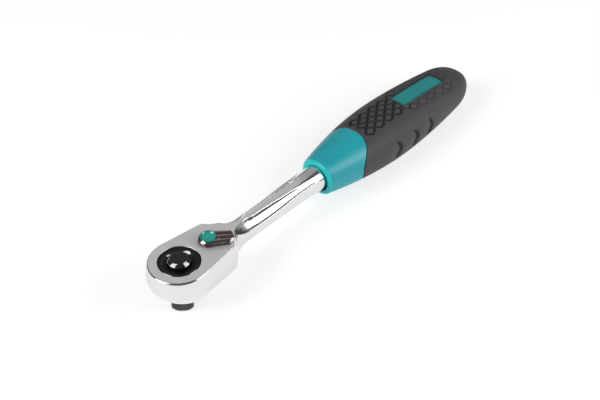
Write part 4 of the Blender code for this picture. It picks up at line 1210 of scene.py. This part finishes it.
def make_core():
    """The hard core: tang socket, mouth, rounded lip, collar, joint face and rod, in one skin."""
    angles = even_angles(COLLAR_STEPS)
    mouth_end = TANG_START + 2 * END_PLAY - GRIP_START
    socket_end = TANG_END + END_PLAY - GRIP_START
    lip = COLLAR_RADIUS - COLLAR_BORE - MOUTH_ROUND

    def tang_ring(place):
        return [(GRIP_START + place, *tang_point(angle, FIT_GAP)) for angle in angles]

    def seam(angle):
        return collar_length(angle) - SEAM_ROUND

    rings = [tang_ring(socket_end), tang_ring(mouth_end), round_ring(at(mouth_end), COLLAR_BORE, angles, 1.0)]
    for out, back in arc(0.0, 0.0, 1.0, 180.0, 90.0, ROUND_STEPS):
        place = MOUTH_ROUND * (1.0 - back)
        rings.append(round_ring(at(place), COLLAR_BORE + MOUTH_ROUND * (1.0 + out), angles, 1.0))
    for back, out in arc(0.0, 0.0, 1.0, LIP_FROM, 90.0, ROUND_STEPS * 2):
        rings.append([grip_point(COLLAR_LIP * (1.0 + back), angle, lip * (1.0 - out)) for angle in angles])
    for share in shares(COLLAR_ROWS, 1):
        rings.append(row_between(grip_point, at(COLLAR_LIP), seam, share, angles))
    rings.append([grip_point(collar_length(angle), angle, SEAM_ROUND) for angle in angles])
    rings.append(round_ring(collar_length, CORE_ROD_RADIUS, angles))
    rings.append(round_ring(at(CORE_ROD_LENGTH), CORE_ROD_RADIUS, angles))
    core = skin("collar_core", rings, TEAL_PLASTIC)
    # Painted highlight: the paler teal on the front-facing lip
    paint(core, TEAL_LIP_PAINTED_HIGHLIGHT, lambda middle, normal: (
        normal.x < LIP_FACING and middle.x < GRIP_START + COLLAR_LIP
    ))
    dress(core, "handle", "grip_core", GRIP_SHARP)


def knurled(along, across, front):
    """How strongly the diamond whose middle is at a place on the grip's top stands out, from 0 to 1."""
    reach = KNURL_SIDE_WIDTH if along > BADGE_AT else KNURL_HALF_WIDTH
    if along < front + KNURL_FRONT or along > KNURL_END or abs(across) > reach:
        return 0.0
    return mix(1.0, KNURL_FADED, smooth(along, BADGE_AT - KNURL_LENGTH, BADGE_AT + KNURL_LENGTH))


def knurl(along, across, front):
    """Depth of the grooves round the diamonds at a place on the grip's top."""
    first = (along - KNURL_CROSSING) / KNURL_LENGTH - across / KNURL_WIDTH
    second = (along - KNURL_CROSSING) / KNURL_LENGTH + across / KNURL_WIDTH
    spacing = KNURL_LENGTH * KNURL_WIDTH / math.hypot(KNURL_LENGTH, KNURL_WIDTH)
    depth = 0.0
    for line, other in ((first, second), (second, first)):
        nearest = round(line)
        strength = 0.0
        for beside in (nearest - 0.5, nearest + 0.5):
            middle = math.floor(other) + 0.5
            place = KNURL_CROSSING + KNURL_LENGTH * (beside + middle) / 2
            sideways = KNURL_WIDTH * (middle - beside) / 2 * (1.0 if line is first else -1.0)
            strength = max(strength, knurled(place, sideways, front))
        off = abs(line - nearest) * spacing / KNURL_GROOVE
        depth = max(depth, strength * max(0.0, 1.0 - off) ** KNURL_POWER)
    rim = max(abs(along - BADGE_AT - BADGE_LENGTH / 2) - BADGE_LENGTH / 2, abs(across) - BADGE_WIDTH / 2)
    clear = smooth(along, front, front + KNURL_EASE) * smooth(rim, *BADGE_CLEAR)
    return KNURL_DEPTH * depth * clear


def finger_groove(along, up):
    """Depth of the finger grooves in the grip's sides: a long slope that ends in a bowed steep edge."""
    depth = 0.0
    for place in FINGER_PLACES:
        edge = place - FINGER_BOW * up * up
        back = edge - along
        slope = max(0.0, 1.0 - max(back, FINGER_LIP[1]) / FINGER_RUN) ** FINGER_POWER
        lip = clamp((back - FINGER_LIP[0]) / (FINGER_LIP[1] - FINGER_LIP[0]))
        fade_out = 1.0 - smooth(abs(up), FINGER_HEIGHT - FINGER_FADE, FINGER_HEIGHT)
        depth = max(depth, slope * lip * fade_out)
    return FINGER_DEPTH * depth


def sleeve_angles():
    """Columns round the grip, close together on the knurled top."""
    top = []
    for share in shares(TOP_COLUMNS):
        across = mix(KNURL_REACH, -KNURL_REACH, share)
        top.append(math.acos(signed_power(across, GRIP_SQUARENESS / 2)))
    rest = [mix(top[-1], top[0] + 2 * math.pi, share) for share in shares(SIDE_COLUMNS, 1)[:-1]]
    return top + rest


def sleeve_point(along, angle):
    """A point of the soft skin, pressed in where the knurl and the finger grooves are."""
    wide, tall = grip_sizes(along)
    across, up = oval(angle)
    press = 0.0
    if up > KNURL_ABOVE:
        press = knurl(along, wide * across, collar_length(angle) + SKIN_GAP)
    elif abs(up) < FINGER_BELOW and along < BUTT_AT:
        press = finger_groove(along, tall * up)
    power = GRIP_SQUARENESS - 1
    normal = Vector((signed_power(across, power) / wide, signed_power(up, power) / tall)).normalized()
    return (GRIP_START + along, wide * across - press * normal.x, AXIS_HEIGHT + tall * up - press * normal.y)


def in_groove_shade(middle, normal):
    """Whether a face of the soft skin lies in a knurl groove or at the steep end of a finger groove, where
    darker rubber is painted as shade.
    """
    along = middle.x - GRIP_START
    up = middle.z - AXIS_HEIGHT
    if along > BUTT_AT or along < COLLAR_SIDE_LENGTH:
        return False
    if abs(up) < FINGER_BELOW * SWELL_HALF_HEIGHT:
        return abs(middle.y) > CORE_ROD_RADIUS and finger_groove(along, up) > FINGER_SHADED * FINGER_DEPTH
    front = COLLAR_SIDE_LENGTH + COLLAR_ARCH
    return up > CORE_ROD_RADIUS and knurl(along, middle.y, front) > KNURL_SHADED * KNURL_DEPTH


def badge_outline(grow):
    """The badge's plan as (along, across) points, grown all round, with points on its straight edges too."""
    corner = max(BADGE_LEAST_CORNER, BADGE_CORNER + grow)
    half_long = BADGE_LENGTH / 2 + grow - corner
    half_wide = BADGE_WIDTH / 2 + grow - corner
    middle = BADGE_AT + BADGE_LENGTH / 2
    corners = []
    for x, y, start in ((1, 1, 0.0), (-1, 1, 90.0), (-1, -1, 180.0), (1, -1, 270.0)):
        centre = (middle + x * half_long, y * half_wide)
        corners.append(arc(*centre, corner, start, start + 90.0, ROUND_STEPS))
    points = []
    for here, there in zip(corners, corners[1:] + corners[:1]):
        points += here
        for share in shares(BADGE_EDGE_STEPS, 1)[:-1]:
            points.append(tuple(mix(a, b, share) for a, b in zip(here[-1], there[0])))
    return points


def badge_ring(grow, depth):
    ring = []
    for along, across in badge_outline(grow):
        ring.append((GRIP_START + along, across, grip_top(along, across) - depth))
    return ring


def make_sleeve():
    """The soft skin: hollow for the core, joint face, patterned outside and round butt, in one skin."""
    angles = sleeve_angles()
    hollow = CORE_ROD_RADIUS + SKIN_GAP

    def front(angle):
        return collar_length(angle) + SKIN_GAP

    def seam(angle):
        return front(angle) + SEAM_ROUND

    rings = [round_ring(at(CORE_ROD_LENGTH + SKIN_GAP), hollow, angles)]
    rings.append(round_ring(front, hollow, angles))
    rings.append([grip_point(front(angle), angle, SEAM_ROUND) for angle in angles])
    for share in shares(FRONT_ROWS)[:-1]:
        rings.append(row_between(sleeve_point, seam, at(SWELL_AT), share, angles))
    back = [mix(SWELL_AT, BUTT_AT, share) for share in shares(BACK_ROWS)[:-1]]
    back += [mix(BUTT_AT, GRIP_LENGTH, math.sin(math.pi / 2 * share)) for share in shares(BUTT_ROWS)[:-1]]
    for along in back:
        rings.append([sleeve_point(along, angle) for angle in angles])
    sleeve = skin("soft_grip", rings, SOFT_RUBBER)
    depth = BADGE_SUNK + BADGE_THICKNESS + SKIN_GAP
    pocket = [badge_ring(BADGE_GAP, depth), badge_ring(BADGE_GAP, -CUT_PAST)]
    cut(sleeve, skin("badge_pocket", pocket, SOFT_RUBBER))
    # Painted shade: darker rubber in the grooves
    paint(sleeve, GROOVE_PAINTED_SHADE, in_groove_shade)
    dress(sleeve, "handle", "grip_sleeve", GRIP_SHARP)


def make_badge():
    rings = [badge_ring(0.0, BADGE_SUNK + BADGE_THICKNESS), badge_ring(0.0, BADGE_SUNK + BADGE_EDGE)]
    rings.append(badge_ring(-BADGE_EDGE, BADGE_SUNK))
    for row in range(1, BADGE_ROWS + 1):
        rings.append(badge_ring(-BADGE_ROW * row, BADGE_SUNK))
    dress(skin("name_plate", rings, GREEN_ENAMEL), "handle", "grip_badge")


# Inner pieces keep the frame's shape

def dress_inner_pieces():
    materials = {
        "gear_seal_ring": SEAL_RUBBER, "lever_o_ring": SEAL_RUBBER, "gear_thrust_washer": GROUND_STEEL,
        "gear_retaining_ring": SPRING_STEEL, "release_pin": DARK_STEEL, "lever_clip": SPRING_STEEL,
        "detent_spring": SPRING_STEEL, "detent_plunger": GROUND_STEEL, "pawl": GROUND_STEEL,
        "pawl_pin": GROUND_STEEL,
    }
    for node, material in materials.items():
        mesh = frame["nodes"][node].data
        mesh.materials.clear()
        mesh.materials.append(material)


# Floor, light and camera

FLOOR_SIZE = 4.0
DRIVE_CORNER = DRIVE_SIZE / math.sqrt(2)
FLOOR_SHOWN = 0.67
FLOOR_COLOUR = 0.8
FLOOR_SHADOWED = 0.5


def grey(level):
    return (level, level, level, 1.0)


def floor_material():
    """Pale paper: it lights the part as paper does, and shows near white with a faint shadow."""
    material = bpy.data.materials.new("pale_floor")
    material.use_nodes = True
    tree = material.node_tree
    tree.nodes.remove(tree.nodes["Principled BSDF"])
    paper = add_node(tree, "BsdfDiffuse", Color=grey(FLOOR_COLOUR))
    shadowed = add_node(tree, "BsdfDiffuse", Color=grey(FLOOR_SHADOWED))
    glow = add_node(tree, "Emission", Strength=FLOOR_SHOWN)
    shown = add_node(tree, "AddShader", shadowed.outputs[0], glow.outputs[0])
    ray = add_node(tree, "LightPath").outputs
    seen = add_node(tree, "Math", ray["Is Camera Ray"], ray["Is Glossy Ray"])
    seen.operation = "MAXIMUM"
    choose = add_node(tree, "MixShader", seen.outputs[0], paper.outputs[0], shown.outputs[0])
    set_sockets(tree.nodes["Material Output"], Surface=choose.outputs[0])
    return material


def resting_slope():
    """The slope of the plane through the drive's lowest edge that just touches the grip from below."""
    slope = 1.0
    for i in range(COLLAR_STEPS):
        for angle in even_angles(COLLAR_STEPS):
            x, y, z = grip_point(GRIP_LENGTH * i / COLLAR_STEPS, angle)
            slope = min(slope, z / (x + y - DRIVE_CORNER))
    return slope


def make_floor():
    """The plane that the tool lies on, on its drive and its grip."""
    half = FLOOR_SIZE / 2
    slope = resting_slope()
    corners = []
    for x, y in ((-half, -half), (half, -half), (half, half), (-half, half)):
        corners.append((x, y, slope * (x + y - DRIVE_CORNER * MM)))
    mesh = bpy.data.meshes.new("floor")
    mesh.from_pydata(corners, [], [(0, 1, 2, 3)])
    add_object("floor", mesh, floor_material())


STUDIO_DARK = 0.1
STUDIO_PALE = 0.38
PALE_AZIMUTH = 42.5
PALE_ELEVATION = 41.0
PALE_RADIUS = 16.0
DARK_RADIUS = 38.0


def bearing(azimuth, elevation):
    """The direction at an azimuth and an elevation in degrees."""
    turn = math.radians(azimuth)
    rise = math.radians(elevation)
    return Vector((math.cos(turn) * math.cos(rise), math.sin(turn) * math.cos(rise), math.sin(rise)))


def make_world():
    """White where the camera sees it; for light and reflections a grey room, paler on the far side."""
    world = bpy.data.worlds.new("studio")
    bpy.context.scene.world = world
    world.use_nodes = True
    tree = world.node_tree
    place = add_node(tree, "TexCoord").outputs["Generated"]
    facing = add_node(tree, "VectorMath", place, bearing(PALE_AZIMUTH, PALE_ELEVATION))
    facing.operation = "DOT_PRODUCT"
    limits = [math.cos(math.radians(radius)) for radius in (DARK_RADIUS, PALE_RADIUS)]
    shades = add_node(tree, "MapRange", facing.outputs["Value"], *limits, STUDIO_DARK, STUDIO_PALE)
    shades.interpolation_type = "SMOOTHSTEP"
    room = tree.nodes["Background"]
    set_sockets(room, Color=grey(1.0), Strength=shades.outputs["Result"])
    white = add_node(tree, "Background", Color=grey(1.0))
    seen = add_node(tree, "LightPath").outputs["Is Camera Ray"]
    choose = add_node(tree, "MixShader", seen, room.outputs[0], white.outputs[0])
    set_sockets(tree.nodes["World Output"], Surface=choose.outputs[0])


LIGHT_DISTANCE = 0.9
SUBJECT = Vector((0.07, 0.0, 0.02))
SOFTBOX_WIDTH = 0.5
SOFTBOX_HEIGHT = 0.6
SOFTBOXES = {
    "softbox_left": {"azimuth": 163.0, "elevation": 36.0, "power": 5.0},
    "softbox_right": {"azimuth": -62.0, "elevation": 30.0, "power": 4.6},
}


def make_softbox(name, azimuth, elevation, power):
    light = bpy.data.lights.new(name, "AREA")
    light.shape = "RECTANGLE"
    light.size = SOFTBOX_WIDTH
    light.size_y = SOFTBOX_HEIGHT
    light.energy = power
    lamp = bpy.data.objects.new(name, light)
    towards = bearing(azimuth, elevation)
    lamp.location = SUBJECT + towards * LIGHT_DISTANCE
    lamp.rotation_euler = towards.to_track_quat("Z", "Y").to_euler()
    bpy.context.scene.collection.objects.link(lamp)


CAMERA_PLACE = Vector((-0.210239, -0.261221, 0.344221))
CAMERA_YAW = 42.509
CAMERA_PITCH = 40.708
CAMERA_ROLL = -0.110
CAMERA_LENS = 66.0
CAMERA_CLIP = 0.01


def make_camera():
    yaw = math.radians(CAMERA_YAW)
    ahead = bearing(CAMERA_YAW, -CAMERA_PITCH)
    right = Vector((math.sin(yaw), -math.cos(yaw), 0.0))
    up = right.cross(ahead)
    level = Matrix((right, up, -ahead)).transposed().to_4x4()
    data = bpy.data.cameras.new("camera")
    data.lens = CAMERA_LENS
    data.clip_start = CAMERA_CLIP
    camera = bpy.data.objects.new("camera", data)
    roll = Matrix.Rotation(math.radians(CAMERA_ROLL), 4, "Z")
    camera.matrix_world = Matrix.Translation(CAMERA_PLACE) @ level @ roll
    bpy.context.scene.collection.objects.link(camera)
    bpy.context.scene.camera = camera


make_camera()
make_floor()
make_world()
for softbox, settings in SOFTBOXES.items():
    make_softbox(softbox, **settings)
bpy.context.scene.view_settings.view_transform = "Standard"
make_head()
make_drive()
make_button()
make_release_parts()
make_lever()
make_inlay()
make_core()
make_sleeve()
make_badge()
dress_inner_pieces()
